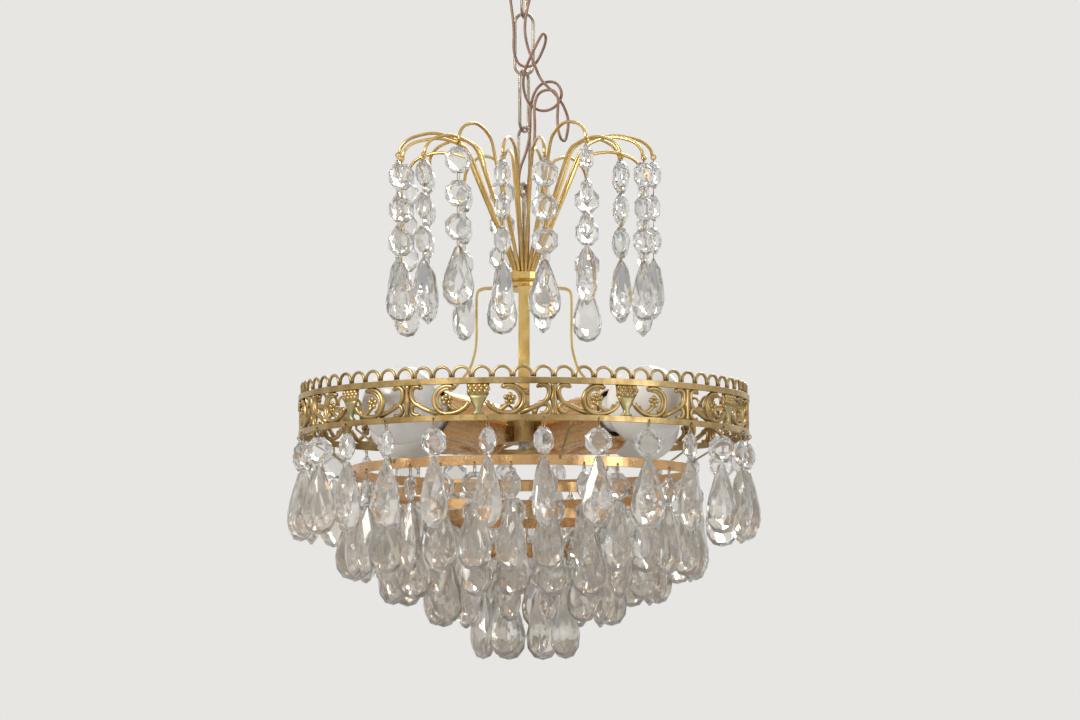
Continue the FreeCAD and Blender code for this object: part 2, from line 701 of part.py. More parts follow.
def frame_straps():
    """The four flat straps: out from under the cup, down, and out in an S to the band."""
    half = size.strap_thick.number / 2
    top = (strap_bottom - band_bottom).number + half
    inner = strap_seat.number - half
    knee = size.strap_knee.number
    route = [
        Vector(size.strap_start.number, 0, top), Vector(knee - 4, 0, top), Vector(knee - 1, 0, top - 4),
        Vector(knee - 0.5, 0, 74),
        Vector(knee + 6, 0, 52), Vector(knee + 22, 0, 34), Vector(knee + 46, 0, 27),
        Vector(inner - 30, 0, 23), Vector(inner, 0, 22),
        Vector(inner, 0, size.band_height.number - 1.5),
    ]
    strap = flat_bar(route, size.strap_width.number, size.strap_thick.number)
    straps = [turned(strap, k * 360 / STRAP_COUNT) for k in range(STRAP_COUNT)]
    return feature("frame_straps", Part.makeCompound(straps), band_bottom)


def strap_rivets():
    """A rivet head inside each strap's foot, at the band's top margin."""
    face = strap_seat.number - size.strap_thick.number
    z = size.band_height.number - size.rail_height.number
    head = lathe([(0, 0), (2.2, 0), (1.2, 1.2), (0, 1.2)], 8)
    head.rotate(Vector(), Vector(0, 1, 0), -90)
    head.translate(Vector(face, 0, z))
    heads = [turned(Part.makeCompound([head]), k * 360 / STRAP_COUNT) for k in range(STRAP_COUNT)]
    return feature("strap_rivets", Part.makeCompound(heads), band_bottom)


# ---------------------------------------------------------------- gallery band

def flat_face(points):
    """A flat shape drawn in the YZ plane, as (y, z) pairs."""
    ring = [Vector(0, y, z) for y, z in points]
    return Part.Face(Part.makePolygon(ring + ring[:1]))


def ribbon(points, width):
    """The outline of a flat ribbon of that width along a line."""
    left, right = [], []
    for k, (y, z) in enumerate(points):
        (y0, z0), (y1, z1) = points[max(k - 1, 0)], points[min(k + 1, len(points) - 1)]
        length = math.hypot(y1 - y0, z1 - z0)
        offset_y, offset_z = (z0 - z1) / length * width / 2, (y1 - y0) / length * width / 2
        left.append((y + offset_y, z + offset_z))
        right.append((y - offset_y, z - offset_z))
    return left + right[::-1]


def mirrored_outline(half):
    """A closed outline from its right half, given from the bottom up."""
    return half + [(-y, z) for y, z in reversed(half)]


def half_unit(low, high, reach, rail):
    """Half of the pattern's unit, from the middle of a baluster at 0 to the middle of an urn at the
    reach, as closed outlines: the S-sweep that rises on each side of the baluster, the scroll that
    it ends in, the flower in the scroll, the baluster, the urn, and the strip's two margins."""
    middle = (low + high) / 2
    sweep = [(reach * 0.16, high - 0.5), (reach * 0.07, middle + 4), (reach * 0.12, middle - 2),
             (reach * 0.32, low + 4.5), (reach * 0.56, low + 1.4), (reach * 0.9, middle + 1)]
    foot = [(reach * 0.2, low + 5), (reach * 0.11, low + 5.5), (reach * 0.07, low)]
    scroll_y, scroll = reach * 0.56, (high - low) * 0.46
    scroll_line = [(scroll_y + scroll * math.cos(math.radians(a)), middle + scroll * math.sin(math.radians(a)))
                   for a in (62, 118, 180, 226, 262)]
    flower = [(scroll_y + 4.5, low + 1.5), (scroll_y + 5, middle + 2.5), (scroll_y, middle + 5),
              (scroll_y - 3.5, middle - 1)]
    baluster = mirrored_outline([(3.4, low - 1), (1.4, low + 4), (3, middle), (1.4, high - 4),
                                 (3.4, high + 1)])
    urn = mirrored_outline([(4.4, low - 1), (1.8, low + 4), (8.6, high - 6), (8.6, high + 1)])
    shapes = [ribbon(line, 2.3) for line in (sweep, foot, scroll_line)]
    shapes += [flower, baluster, [(reach + y, z) for y, z in urn]]
    shapes += [[(-20, 0), (reach + 20, 0), (reach + 20, rail), (-20, rail)],
               [(-20, high), (reach + 20, high), (reach + 20, high + rail), (-20, high + rail)]]
    return shapes


def arch(radius_out, radius_in, foot, steps):
    """The outline of a half ring standing on its feet at height 0."""
    angles = [math.pi * k / steps for k in range(1, steps)]
    outer = [(radius_out * math.cos(a), foot + radius_out * math.sin(a)) for a in angles]
    inner = [(radius_in * math.cos(a), foot + radius_in * math.sin(a)) for a in reversed(angles)]
    return [(radius_out, 0)] + outer + [(-radius_out, 0), (-radius_in, 0)] + inner + [(radius_in, 0)]


def gallery_band():
    """The pierced strip: flat panels in a ring, each cut to the pattern, with a row of open scallops
    along the top. The strip is nine and a half units long, and its ends meet at the back."""
    step = 360 / PANELS
    outside = size.ring_radius.number - size.rail_thick.number
    inside = outside - size.band_thick.number
    height, rail = size.band_height.number, size.rail_height.number
    half_in, half_out = (r * math.tan(math.radians(step / 2)) for r in (inside, outside))
    pattern = [flat_face(shape).extrude(Vector(outside - inside, 0, 0))
               for shape in half_unit(rail, height - rail, 4 * half_in, rail)]
    pattern = pattern[0].multiFuse(pattern[1:]).removeSplitter()
    flats = []
    for k in range(2):
        piece = pattern.copy()
        piece.translate(Vector(inside, -(2 * k + 1) * half_in, 0))
        plan = [Vector(inside, -half_in, 0), Vector(outside, -half_out, 0), Vector(outside, half_out, 0),
                Vector(inside, half_in, 0)]
        blank = Part.Face(Part.makePolygon(plan + plan[:1])).extrude(Vector(0, 0, height))
        flats.append(piece.common(blank))
    flats += [flat.mirror(Vector(), Vector(0, 1, 0)) for flat in reversed(flats)]
    start = BAND_TURN - 5 * len(flats) * step
    pieces = [turned(flats[k % len(flats)], start + (k + 0.5) * step) for k in range(PANELS)]
    pitch = 2 * math.pi * (outside - 1) / SCALLOPS
    wire = size.scallop_wire.number
    scallop = flat_face(arch(pitch / 2 + 0.05, pitch / 2 - wire, size.loop_height.number - pitch / 2, 3))
    scallop = scallop.extrude(Vector(1.4, 0, 0))
    scallop.translate(Vector((inside + outside) / 2 - 0.7, 0, height))
    for k in range(SCALLOPS):
        pieces.append(turned(scallop, BAND_TURN + (k + 0.5) * 360 / SCALLOPS))
    return feature("gallery_band", pieces[0].multiFuse(pieces[1:]).removeSplitter(), band_bottom)


# ---------------------------------------------------------------- tiers

def tier_level(tier):
    """The level of a tier ring's lower edge."""
    return band_bottom - getattr(size, "tier_drop_%d" % tier)


def tier_hooks():
    """The wire hooks that carry each ring from the one above."""
    wire = size.hook_wire.number
    rings = [(size.ring_radius.number - size.rail_thick.number - size.band_thick.number, 0.0, 0.0)]
    for tier in (2, 3, 4, 5):
        radius = getattr(size, "tier_radius_%d" % tier).number
        drop_to = getattr(size, "tier_drop_%d" % tier).number
        rings.append((radius, size.tier_height.number - drop_to, size.tier_thick.number))
    hooks = []
    for level, (above, below) in enumerate(zip(rings, rings[1:])):
        start_radius, start_z = above[0] - above[2] - wire, above[1]
        end_radius, end_z = below[0] + wire, below[1]
        bottom = start_z - (size.tier_height.number - 2 if level else -2)
        route = [
            Vector(start_radius, 0, bottom), Vector(start_radius, 0, bottom - 4),
            Vector(end_radius + 2, 0, end_z + 2), Vector(end_radius, 0, end_z - 3),
        ]
        hook = bent_wire(route, wire, 4)
        hooks += [turned(hook, FRONT + 12 + level * 17 + k * 360 / TIER_HOOKS) for k in range(TIER_HOOKS)]
    return feature("tier_hooks", Part.makeCompound(hooks), band_bottom)


# ---------------------------------------------------------------- lamps

def lamp_axis(index):
    """A lamp's own frame: its origin is the bulb's centre and its Z axis points along the lamp."""
    angle = 45 + index * 360 / LAMP_COUNT
    place = polar(lamp_place.number, angle, size.lamp_level.number)
    return Placement(place, Rotation(Vector(0, 0, 1), angle) *
                     Rotation(Vector(0, 1, 0), 90 - size.lamp_tilt.number))


def bulb_shape():
    """A round opal lamp: its globe, neck and screw cap."""
    radius, neck = size.bulb_radius.number, size.bulb_neck.number
    cap, length = size.cap_radius.number, size.cap_length.number
    steps = 7
    globe = [(radius * math.sin(math.radians(140 * k / steps)),
              radius * math.cos(math.radians(140 * k / steps))) for k in range(steps + 1)]
    neck_end = -radius - neck
    return lathe(globe + [(cap + 2, -radius - 3), (cap, neck_end), (cap, neck_end - length),
                          (0, neck_end - length)], LAMP_SIDES)


def holder_cover_shape():
    """The open brass cylinder over a lampholder, closed at the back but for its wire hole."""
    radius, wall, length = size.cover_radius.number, size.cover_wall.number, cover_length.number
    front = -lamp_seat.number
    back = front - length
    hole = size.flex_size.number / 2 + 1
    return lathe([(hole, back), (radius, back), (radius, front), (radius - wall, front),
                  (radius - wall, back + wall), (hole, back + wall)], LAMP_SIDES)


def lampholder_shape():
    """The insulated holder inside the cover, bored for the bulb's cap."""
    cap, gap = size.cap_radius.number, size.holder_gap.number
    neck_end = -size.bulb_radius.number - size.bulb_neck.number
    floor = neck_end - size.cap_length.number - 1
    back = -(lamp_seat + cover_length).number + size.cover_wall.number
    outer = size.cover_radius.number - size.cover_wall.number
    return lathe([(0, back), (outer, back), (outer, neck_end - 1), (cap + gap, neck_end - 1),
                  (cap + gap, floor), (0, floor)], LAMP_SIDES)


def at_lamps(name, shape):
    shapes = []
    for k in range(LAMP_COUNT):
        copy = shape.copy()
        copy.transformShape(lamp_axis(k).toMatrix(), True)
        shapes.append(copy)
    return feature(name, Part.makeCompound(shapes), band_bottom)


def bulbs():
    shape = bulb_shape()
    made = []
    for k in range(LAMP_COUNT):
        copy = shape.copy()
        copy.transformShape(lamp_axis(k).toMatrix(), True)
        made.append(feature("bulb_%d" % (k + 1), copy, band_bottom))
    return made


def lamp_hub():
    """The box that the lamps and wires meet in, with a flat for each lamp's cover."""
    radius, height = size.hub_radius.number, size.hub_height.number
    reach = lamp_place.number
    tilt = math.radians(size.lamp_tilt.number)
    back = (lamp_seat + cover_length).number
    body = lathe([(0, 0), (radius, 0), (radius, height), (0, height)], ROUND_SIDES)
    base_z = hub_bottom.number - band_bottom.number
    arms = []
    for k in range(LAMP_COUNT):
        frame = lamp_axis(k)
        start = 12 - reach / math.cos(tilt)
        arm = lathe([(0, start), (7, start), (7, -back), (0, -back)], LAMP_SIDES // 2)
        arm.transformShape(frame.toMatrix(), True)
        arm.translate(Vector(0, 0, -base_z))
        arms.append(arm)
    bore = Part.makeCylinder(size.rod_wire.number / 2 + size.thread_gap.number, height)
    hub = body.fuse(arms).cut(bore).removeSplitter()
    return feature("lamp_hub", hub, hub_bottom)


# ---------------------------------------------------------------- lamp wires

def flex(name, points):
    """A lamp wire along its route, given as points from the ceiling down."""
    route = [Vector(*p) for p in points]
    path, length, radii = rounded_path(route)
    diameter, sides = size.flex_size.number, 4
    section = polygon_section(route[0], route[1] - route[0], wire_radius(diameter, sides), sides)
    tube = swept(section, path)
    area = math.pi * diameter * diameter / 4
    print("%s: length %.1f, smallest radius %.1f, volume %.4f of section times length" %
          (name, length, min(radii), tube.Volume / (area * length)))
    return feature(name, tube)


def wire_routes():
    """The ways of the two lamp wires, from the bushes down to the floor of the crown cup. Both hang
    slack in front of the chain; each makes one open loop to the right."""
    bush, top, floor = size.bush_place.number, -size.canopy_height.number - 0.5, cup_floor.number + 0.15
    first = [
        (-bush, 0, top), (-bush, 0, -52), (-12.5, -3, -74), (-9.5, -5, -96), (-7.5, -6, -113),
        (-8.5, -6, -128), (-4, -6.5, -141), (8, -7, -141), (14, -8.5, -130), (17.5, -11.5, -120),
        (15, -23.5, -116), (9.5, -28.5, -127), (4, -24.5, -138), (-1, -18, -150), (0, -13, -164),
        (6, -11.5, -173.5),
        (16, -11, -177), (26, -10.5, -172), (30, -10, -162), (25, -9, -153), (15, -8.5, -153),
        (7.5, -9, -161), (4.5, -10.5, -176), (5, -10.5, -192), (2, -10, -208), (-4, -9, -222),
        (-4.2, -8.2, -240), (-4, -5.6, -262), (-2.9, -3.5, -285), (-3.2, -3.4, floor),
    ]
    second = [
        (bush, 0, top), (bush, 0, -50), (10, -6, -70), (3.5, -13.5, -91), (0, -13.5, -110),
        (2, -12.5, -125), (8, -12, -140), (13, -14, -153), (22, -15, -161), (30, -15, -171),
        (34.5, -14, -183), (33.5, -16, -194), (31.5, -22.5, -202), (27.5, -32.5, -200),
        (25.5, -33, -189), (26, -29, -177), (26.5, -23, -167), (22.5, -15, -159.5),
        (11, -14.5, -161.5), (7.5, -15, -173),
        (8.5, -15.5, -187), (8, -14, -202), (4.5, -12, -220),
        (2.5, -9.5, -240), (3.8, -6, -262), (2.8, -3.6, -286), (3.2, -3.4, floor),
    ]
    return first, second


def save(piece):
    shape = piece.Shape
    if shape.isNull() or not shape.isValid() or not shape.Solids:
        raise ValueError("%s has no valid solid" % piece.Label)
    shape.exportStep("parts/%s.step" % piece.Label)


parts = [
    ceiling_bar(), canopy(), canopy_nipple(),
    hexagonal_nut("nipple_nut", size.nut_flats, size.nut_height, size.nipple_radius + size.thread_gap,
                  -(size.bar_thick + size.nut_height)),
    canopy_loop(), wire_bushes(),
]
parts += [chain_link("chain_link_%d" % (k + 1), link_tops[k], LINK_YAWS[k]) for k in range(4)]
parts += [hanger_rod(), crown_cup(), crown_arms()]
parts += [crown_strand(k) for k in range(ARM_COUNT)]
rod_bore = size.rod_wire / 2 + size.thread_gap
parts += [
    frame_disc("strap_disc", size.disc_thick, disc_bottom), frame_straps(), strap_rivets(),
    frame_disc("clamp_washer", size.washer_thick, washer_bottom),
    hexagonal_nut("frame_nut", size.rod_nut_flats, size.rod_nut_height, rod_bore,
                  washer_bottom - size.rod_nut_height),
    gallery_band(),
    hoop("top_rail", size.ring_radius, size.rail_thick, size.rail_height, PANELS,
         band_top - size.rail_height, BAND_TURN),
    hoop("bottom_rail", size.ring_radius, size.rail_thick, size.rail_height, PANELS, band_bottom,
         BAND_TURN),
]
octagon = bead(size.bead_size.number, size.bead_thick.number)
ring_middle = size.ring_radius.number - size.rail_thick.number
parts.append(ring_strands("main_strands", MAIN_STRANDS, ring_middle, band_bottom, FRONT + 5, octagon))
for tier, count in TIER_STRANDS.items():
    radius = getattr(size, "tier_radius_%d" % tier)
    parts.append(hoop("tier_ring_%d" % tier, radius, size.tier_thick, size.tier_height,
                      24, tier_level(tier), 7.5))
    parts.append(ring_strands("tier_%d_strands" % tier, count,
                              radius.number - size.tier_thick.number / 2,
                              tier_level(tier), FRONT + 4 * tier, octagon))
parts += [tier_hooks(), at_lamps("holder_covers", holder_cover_shape()),
          at_lamps("lampholders", lampholder_shape())]
parts += bulbs()
parts += [flex("lamp_wire_%d" % (k + 1), route) for k, route in enumerate(wire_routes())]
parts += [lamp_hub(), hexagonal_nut("hub_nut", size.rod_nut_flats, size.rod_nut_height, rod_bore,
                                    hub_bottom - size.rod_nut_height)]

doc.recompute()
for item in doc.Objects:
    if "Invalid" in item.State or "Error" in item.State:
        raise ValueError("%s failed: %s" % (item.Label, item.State))
os.makedirs("parts", exist_ok=True)
for piece in parts:
    save(piece)
print("%d sub-parts written" % len(parts))
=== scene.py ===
import json
import math

import bmesh
import bpy
from mathutils import Matrix, Vector


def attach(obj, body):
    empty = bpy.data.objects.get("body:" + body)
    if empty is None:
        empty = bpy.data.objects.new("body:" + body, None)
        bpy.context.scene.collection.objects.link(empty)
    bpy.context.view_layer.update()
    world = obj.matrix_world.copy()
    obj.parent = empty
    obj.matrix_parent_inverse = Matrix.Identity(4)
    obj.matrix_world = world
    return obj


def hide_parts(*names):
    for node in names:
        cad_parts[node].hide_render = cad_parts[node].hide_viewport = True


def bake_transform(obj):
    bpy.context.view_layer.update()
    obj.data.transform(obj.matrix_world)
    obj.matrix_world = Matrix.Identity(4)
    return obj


# A crystal basket chandelier on a chain. Everything is in metres, in the frame of the CAD model:
# z = 0 is the ceiling, +Z is up, and the camera stands on the -Y side, a little below the lamp.

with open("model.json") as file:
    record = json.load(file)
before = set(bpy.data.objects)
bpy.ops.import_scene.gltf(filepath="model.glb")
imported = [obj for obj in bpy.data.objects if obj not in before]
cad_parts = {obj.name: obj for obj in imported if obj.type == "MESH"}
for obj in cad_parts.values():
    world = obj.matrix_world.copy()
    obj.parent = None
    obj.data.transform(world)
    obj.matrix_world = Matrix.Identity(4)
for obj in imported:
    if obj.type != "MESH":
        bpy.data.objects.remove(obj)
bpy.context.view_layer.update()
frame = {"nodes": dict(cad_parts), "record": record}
record = frame["record"]
joint_named = {joint["name"]: joint for joint in record["behaviour"]["joints"]}
body_of_node = {node: body for body, nodes in record["behaviour"]["bodies"].items() for node in nodes}
MM = 0.001


# ---------------------------------------------------------------- materials

NOISE_LOW, NOISE_HIGH = 0.3, 0.7        # nearly all of a noise lies between these
PATCH_WAVES = 60.0                      # to the metre, in the soft patches of a metal
BUMP_DEPTH = 0.0002


def node_material(name, **inputs):
    """A Principled material with these values on its shader, and its node tree to add to."""
    material = bpy.data.materials.new(name)
    material.use_nodes = True
    shader = material.node_tree.nodes["Principled BSDF"]
    for socket, value in inputs.items():
        shader.inputs[socket.replace("_", " ")].default_value = value
    return material, material.node_tree.nodes, material.node_tree.links, shader


def noise(nodes, links, scale, detail=4.0):
    """Noise on the object's own coordinates, with that many waves to the metre."""
    place = nodes.new("ShaderNodeTexCoord")
    texture = nodes.new("ShaderNodeTexNoise")
    texture.inputs["Scale"].default_value = scale
    texture.inputs["Detail"].default_value = detail
    texture.inputs["Roughness"].default_value = 0.55
    links.new(place.outputs["Object"], texture.inputs["Vector"])
    return texture.outputs["Fac"]


def ramp(nodes, links, source, low, high):
    """A colour ramp between two stops, each a position and a colour."""
    node = nodes.new("ShaderNodeValToRGB")
    links.new(source, node.inputs["Fac"])
    for element, (position, colour) in zip(node.color_ramp.elements, (low, high)):
        element.position, element.color = position, colour
    return node.outputs["Color"]


def spread(nodes, links, source, low, high):
    """Maps a noise onto a range."""
    node = nodes.new("ShaderNodeMapRange")
    node.inputs["From Min"].default_value = NOISE_LOW
    node.inputs["From Max"].default_value = NOISE_HIGH
    node.inputs["To Min"].default_value = low
    node.inputs["To Max"].default_value = high
    links.new(source, node.inputs["Value"])
    return node.outputs["Result"]


def bump(nodes, links, shader, source, strength):
    node = nodes.new("ShaderNodeBump")
    node.inputs["Strength"].default_value = strength
    node.inputs["Distance"].default_value = BUMP_DEPTH
    links.new(source, node.inputs["Height"])
    links.new(node.outputs["Normal"], shader.inputs["Normal"])


def metal(name, dark, light, rough, grain=220.0, relief=0.12):
    """A worn metal: two tones in soft patches, an uneven polish and a fine grain."""
    material, nodes, links, shader = node_material(name, Metallic=1.0)
    patches = noise(nodes, links, PATCH_WAVES)
    links.new(ramp(nodes, links, patches, (0.32, dark), (0.68, light)), shader.inputs["Base Color"])
    fine = noise(nodes, links, grain, 6.0)
    links.new(spread(nodes, links, fine, rough * 0.75, rough * 1.35), shader.inputs["Roughness"])
    bump(nodes, links, shader, fine, relief)
    return material


def crystal_material(name, tint, rough):
    """Old cut glass: clear, with a faint warm bloom on it that is stronger in patches."""
    material, nodes, links, shader = node_material(name, IOR=1.52, Transmission_Weight=0.9)
    cloud = noise(nodes, links, 55.0, 5.0)
    links.new(ramp(nodes, links, cloud, (0.35, tint), (0.7, (0.95, 0.94, 0.92, 1))),
              shader.inputs["Base Color"])
    links.new(spread(nodes, links, cloud, rough, rough * 0.3), shader.inputs["Roughness"])
    return material


def two_toned(name, waves, dark, light, relief_waves=0.0, **inputs):
    """A material whose colour drifts between two tones, with a fine relief if waves are given."""
    material, nodes, links, shader = node_material(name, **inputs)
    tone = noise(nodes, links, waves)
    links.new(ramp(nodes, links, tone, (NOISE_LOW, dark), (NOISE_HIGH, light)), shader.inputs["Base Color"])
    if relief_waves:
        bump(nodes, links, shader, noise(nodes, links, relief_waves), 0.1)
    return material


aged_brass = metal("aged_brass", (0.27, 0.175, 0.06, 1), (0.56, 0.4, 0.18, 1), 0.32)
green_brass = metal("green_brass", (0.22, 0.25, 0.15, 1), (0.5, 0.38, 0.17, 1), 0.4)
lacquered_brass = metal("lacquered_brass", (0.56, 0.36, 0.1, 1), (0.78, 0.56, 0.22, 1), 0.17)
copper_brass = metal("copper_brass", (0.6, 0.36, 0.16, 1), (0.68, 0.43, 0.21, 1), 0.22, 500.0, 0.015)
chain_metal = metal("chain_metal", (0.28, 0.235, 0.17, 1), (0.5, 0.44, 0.35, 1), 0.24)
steel = metal("steel", (0.4, 0.4, 0.41, 1), (0.62, 0.62, 0.63, 1), 0.32)
wire_metal = metal("wire_metal", (0.3, 0.22, 0.12, 1), (0.5, 0.38, 0.22, 1), 0.3)
crystal = crystal_material("crystal", (0.78, 0.73, 0.65, 1), 0.12)
clear_crystal = crystal_material("clear_crystal", (0.84, 0.83, 0.8, 1), 0.05)
opal_glass = two_toned("opal_glass", 25.0, (0.8, 0.78, 0.73, 1), (0.88, 0.87, 0.84, 1),
                       Roughness=0.22, IOR=1.5, Subsurface_Weight=0.25, Subsurface_Scale=0.01)
wire_cover = two_toned("wire_cover", 90.0, (0.2, 0.105, 0.065, 1), (0.38, 0.225, 0.15, 1), 900.0,
                       Roughness=0.42)
# The real dark plastic of the bushes and lampholders, also used as painted shade for the rings' pin holes.
dark_plastic = two_toned("dark_plastic", 120.0, (0.02, 0.016, 0.013, 1), (0.06, 0.05, 0.04, 1),
                         Roughness=0.5)


# ---------------------------------------------------------------- CAD pieces that stay

FINISHES = {
    "ceiling_bar": steel, "nipple_nut": steel, "canopy_nipple": steel, "clamp_washer": lacquered_brass,
    "frame_nut": steel, "hub_nut": steel, "canopy": lacquered_brass, "canopy_loop": chain_metal,
    "wire_bushes": dark_plastic, "hanger_rod": chain_metal, "crown_cup": lacquered_brass,
    "crown_arms": lacquered_brass, "strap_disc": lacquered_brass, "frame_straps": lacquered_brass,
    "strap_rivets": lacquered_brass, "gallery_band": aged_brass, "top_rail": aged_brass,
    "bottom_rail": aged_brass, "tier_hooks": wire_metal, "holder_covers": copper_brass,
    "lampholders": dark_plastic, "lamp_hub": aged_brass,
}


def finish_of(name):
    if name.startswith("tier_ring"):
        return copper_brass
    if name.startswith("chain_link"):
        return chain_metal
    return FINISHES.get(name)


for name, piece in frame["nodes"].items():
    material = finish_of(name)
    if material:
        piece.data.materials.clear()
        piece.data.materials.append(material)


def points_of(node):
    return [vertex.co for vertex in frame["nodes"][node].data.vertices]


def lowest(node):
    return min(point.z for point in points_of(node))


# ---------------------------------------------------------------- building pieces

def add_piece(name, mesh, material, node, smooth=False):
    """A new piece that stands for a CAD node and rides on that node's body."""
    piece = bpy.data.objects.new(name, mesh)
    bpy.context.scene.collection.objects.link(piece)
    mesh.materials.append(material)
    if smooth:
        for face in mesh.polygons:
            face.use_smooth = True
    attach(piece, body_of_node[node])
    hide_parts(node)


def mesh_from(name, points, faces):
    """A mesh with its faces all turned outward."""
    mesh = bpy.data.meshes.new(name)
    mesh.from_pydata([tuple(p) for p in points], [], faces)
    mesh.validate()
    work = bmesh.new()
    work.from_mesh(mesh)
    bmesh.ops.recalc_face_normals(work, faces=work.faces)
    work.to_mesh(mesh)
    work.free()
    return mesh


def angles(count):
    """That many equal steps of a full turn."""
    return [2 * math.pi * k / count for k in range(count)]


def upright(height):
    return Vector((0, 0, height))


def compass(angle):
    """The level directions out from the Z axis and across it, at an angle round it."""
    return Vector((math.cos(angle), math.sin(angle), 0)), Vector((-math.sin(angle), math.cos(angle), 0))


def quads(base, rows, count, closed=False):
    """The faces between rows of points, each row a ring of that many. Closed joins the last row to
    the first."""
    faces = []
    for row in range(rows if closed else rows - 1):
        low, high = base + row * count, base + (row + 1) % rows * count
        faces += [[low + k, low + (k + 1) % count, high + (k + 1) % count, high + k] for k in range(count)]
    return faces


def cap(start, count):
    """One face over a ring of points."""
    return [start + k for k in range(count)]


def lathe(profile, steps, turn=Matrix(), base=0, closed=True):
    """A turned surface: its points, moved by a matrix, and its faces."""
    points = [turn @ Vector((r * math.cos(a), r * math.sin(a), z)) for r, z in profile
              for a in angles(steps)]
    return points, quads(base, len(profile), steps, closed)


def tubes(name, lines, radius, sides, first_side=None):
    """Round tubes along lines, one mesh. A line that ends where it starts is closed. The first side
    is the direction of each ring's first point."""
    points, faces = [], []
    for line in lines:
        closed = (line[0] - line[-1]).length < 1e-7
        count = len(line) - 1 if closed else len(line)
        base = len(points)
        side = first_side
        for k in range(count):
            before = line[(k - 1) % count] if closed else line[max(k - 1, 0)]
            along = (line[(k + 1) % count if closed else min(k + 1, count - 1)] - before).normalized()
            if side is None:
                side = along.orthogonal()
            side = (side - along * side.dot(along)).normalized()
            other = along.cross(side)
            points += [line[k] + side * (radius * math.cos(a)) + other * (radius * math.sin(a))
                       for a in angles(sides)]
        faces += quads(base, count, sides, closed)
        if not closed:
            faces += [cap(base, sides), cap(base + (count - 1) * sides, sides)]
    return mesh_from(name, points, faces)


def rounded(corners, steps):
    """A smooth line through the given corners, with that many steps between two of them."""
    last = len(corners) - 1
    line = []
    for k in range(last):
        a, b, c, d = (corners[min(max(k + n, 0), last)] for n in (-1, 0, 1, 2))
        for t in (n / steps for n in range(steps)):
            line.append((2 * b + (c - a) * t + (2 * a - 5 * b + 4 * c - d) * t ** 2 +
                         (3 * b - a - 3 * c + d) * t ** 3) / 2)
    return line + [corners[-1]]


def facing(points, middle):
    """The angle about Z of the widest direction of a set of points."""
    xx = sum((p.x - middle.x) ** 2 for p in points)
    yy = sum((p.y - middle.y) ** 2 for p in points)
    xy = sum((p.x - middle.x) * (p.y - middle.y) for p in points)
    return math.atan2(2 * xy, xx - yy) / 2


# ---------------------------------------------------------------- chain and crown

LINK_WIRE = 0.0025
LINK_BEND = 0.00705          # radius of a link's rounded ends, to the middle of its wire
LINK_STEPS = 32
FINE_WIRE = 0.00038          # radius of the wire between the stones


def smooth_link(node):
    """A chain link as a loop of round wire, in the upright plane of the CAD one."""
    points = points_of(node)
    across, _ = compass(facing(points, sum(points, Vector()) / len(points)))
    top = max(p.z for p in points) - LINK_WIRE / 2
    low = min(p.z for p in points) + LINK_WIRE / 2
    line = []
    for start, level in ((0, top - LINK_BEND), (math.pi, low + LINK_BEND)):
        for k in range(LINK_STEPS + 1):
            a = start + math.pi * k / LINK_STEPS
            line.append(upright(level) + across * (LINK_BEND * math.cos(a)) +
                        upright(LINK_BEND * math.sin(a)))
    line.append(line[0])
    add_piece(node + "_wire", tubes(node + "wire", [line], LINK_WIRE / 2, 14), chain_metal, node, True)


for number in range(1, 5):
    smooth_link("chain_link_%d" % number)

ARMS = 18
ARM_RADIUS = 0.00125
ARM_FOOT = ((0.0084, 0.0002), (0.0088, 0.006), (0.0098, 0.014), (0.0375, 0.081))
ARCH_PLACE, ARCH_START, ARCH_BACK = 0.071, 0.086, 0.040
TIP_FALL = 0.017             # the top of the arch above the tip's hole
TIP_NECK = 0.0018            # the end of the round wire above that hole
TIP_STEPS = 20
TIP_RINGS = ((-0.00055, 0.0024), (-0.00055, 0.0011), (0.00055, 0.0011), (0.00055, 0.0024))


def crown_wires():
    """The bent arms as smooth round wires, each with its flattened and drilled tip."""
    foot_level = lowest("crown_cup") + 0.002
    lines, points, faces = [], [], []
    for index in range(ARMS):
        tip = Vector(joint_named["crown_strand_hinge_%02d" % (index + 1)]["pos_m"])
        out, across = compass(math.radians(-80 + 20 * index))
        reach, hole = tip.dot(out), tip.z - foot_level
        lean = tip.dot(across) / (hole - 0.00015)
        rise, neck = hole + TIP_FALL, hole + TIP_NECK
        corners = list(ARM_FOOT)
        for a in map(math.radians, (145, 125, 105, 85)):
            corners.append((ARCH_PLACE + (ARCH_PLACE - ARCH_BACK) * math.cos(a),
                            ARCH_START + (rise - ARCH_START) * math.sin(a)))
        for a in map(math.radians, (48, 20, 0)):
            corners.append((ARCH_PLACE + (reach - 0.001 - ARCH_PLACE) * math.cos(a),
                            neck + (rise - neck) * math.sin(a)))
        lines.append(rounded([out * x + across * (z * lean) + upright(z + foot_level)
                              for x, z in corners], 4))
        centre = out * reach + across * (hole * lean) + upright(tip.z)
        faces += quads(len(points), len(TIP_RINGS), TIP_STEPS, True)
        for side, radius in TIP_RINGS:
            points += [centre + across * side + out * (radius * math.cos(a)) +
                       upright(radius * math.sin(a)) for a in angles(TIP_STEPS)]
    add_piece("crown_arm_wires", tubes("crown_arm_wires", lines, ARM_RADIUS, 12), lacquered_brass,
              "crown_arms", True)
    add_piece("crown_arm_tips", mesh_from("crown_arm_tips", points, faces), lacquered_brass, "crown_arms")


crown_wires()


# ---------------------------------------------------------------- rails and tier rings

RING, RAIL, STRIP = 0.1735, 0.0018, 0.0016           # outer radius, and thickness of rails and strip
TIER_THICK = 0.0015
TIERS = ((2, 0.133, 30), (3, 0.104, 22), (4, 0.068, 14), (5, 0.035, 8))     # number, radius, strands
BROKEN_EDGE = 0.0002


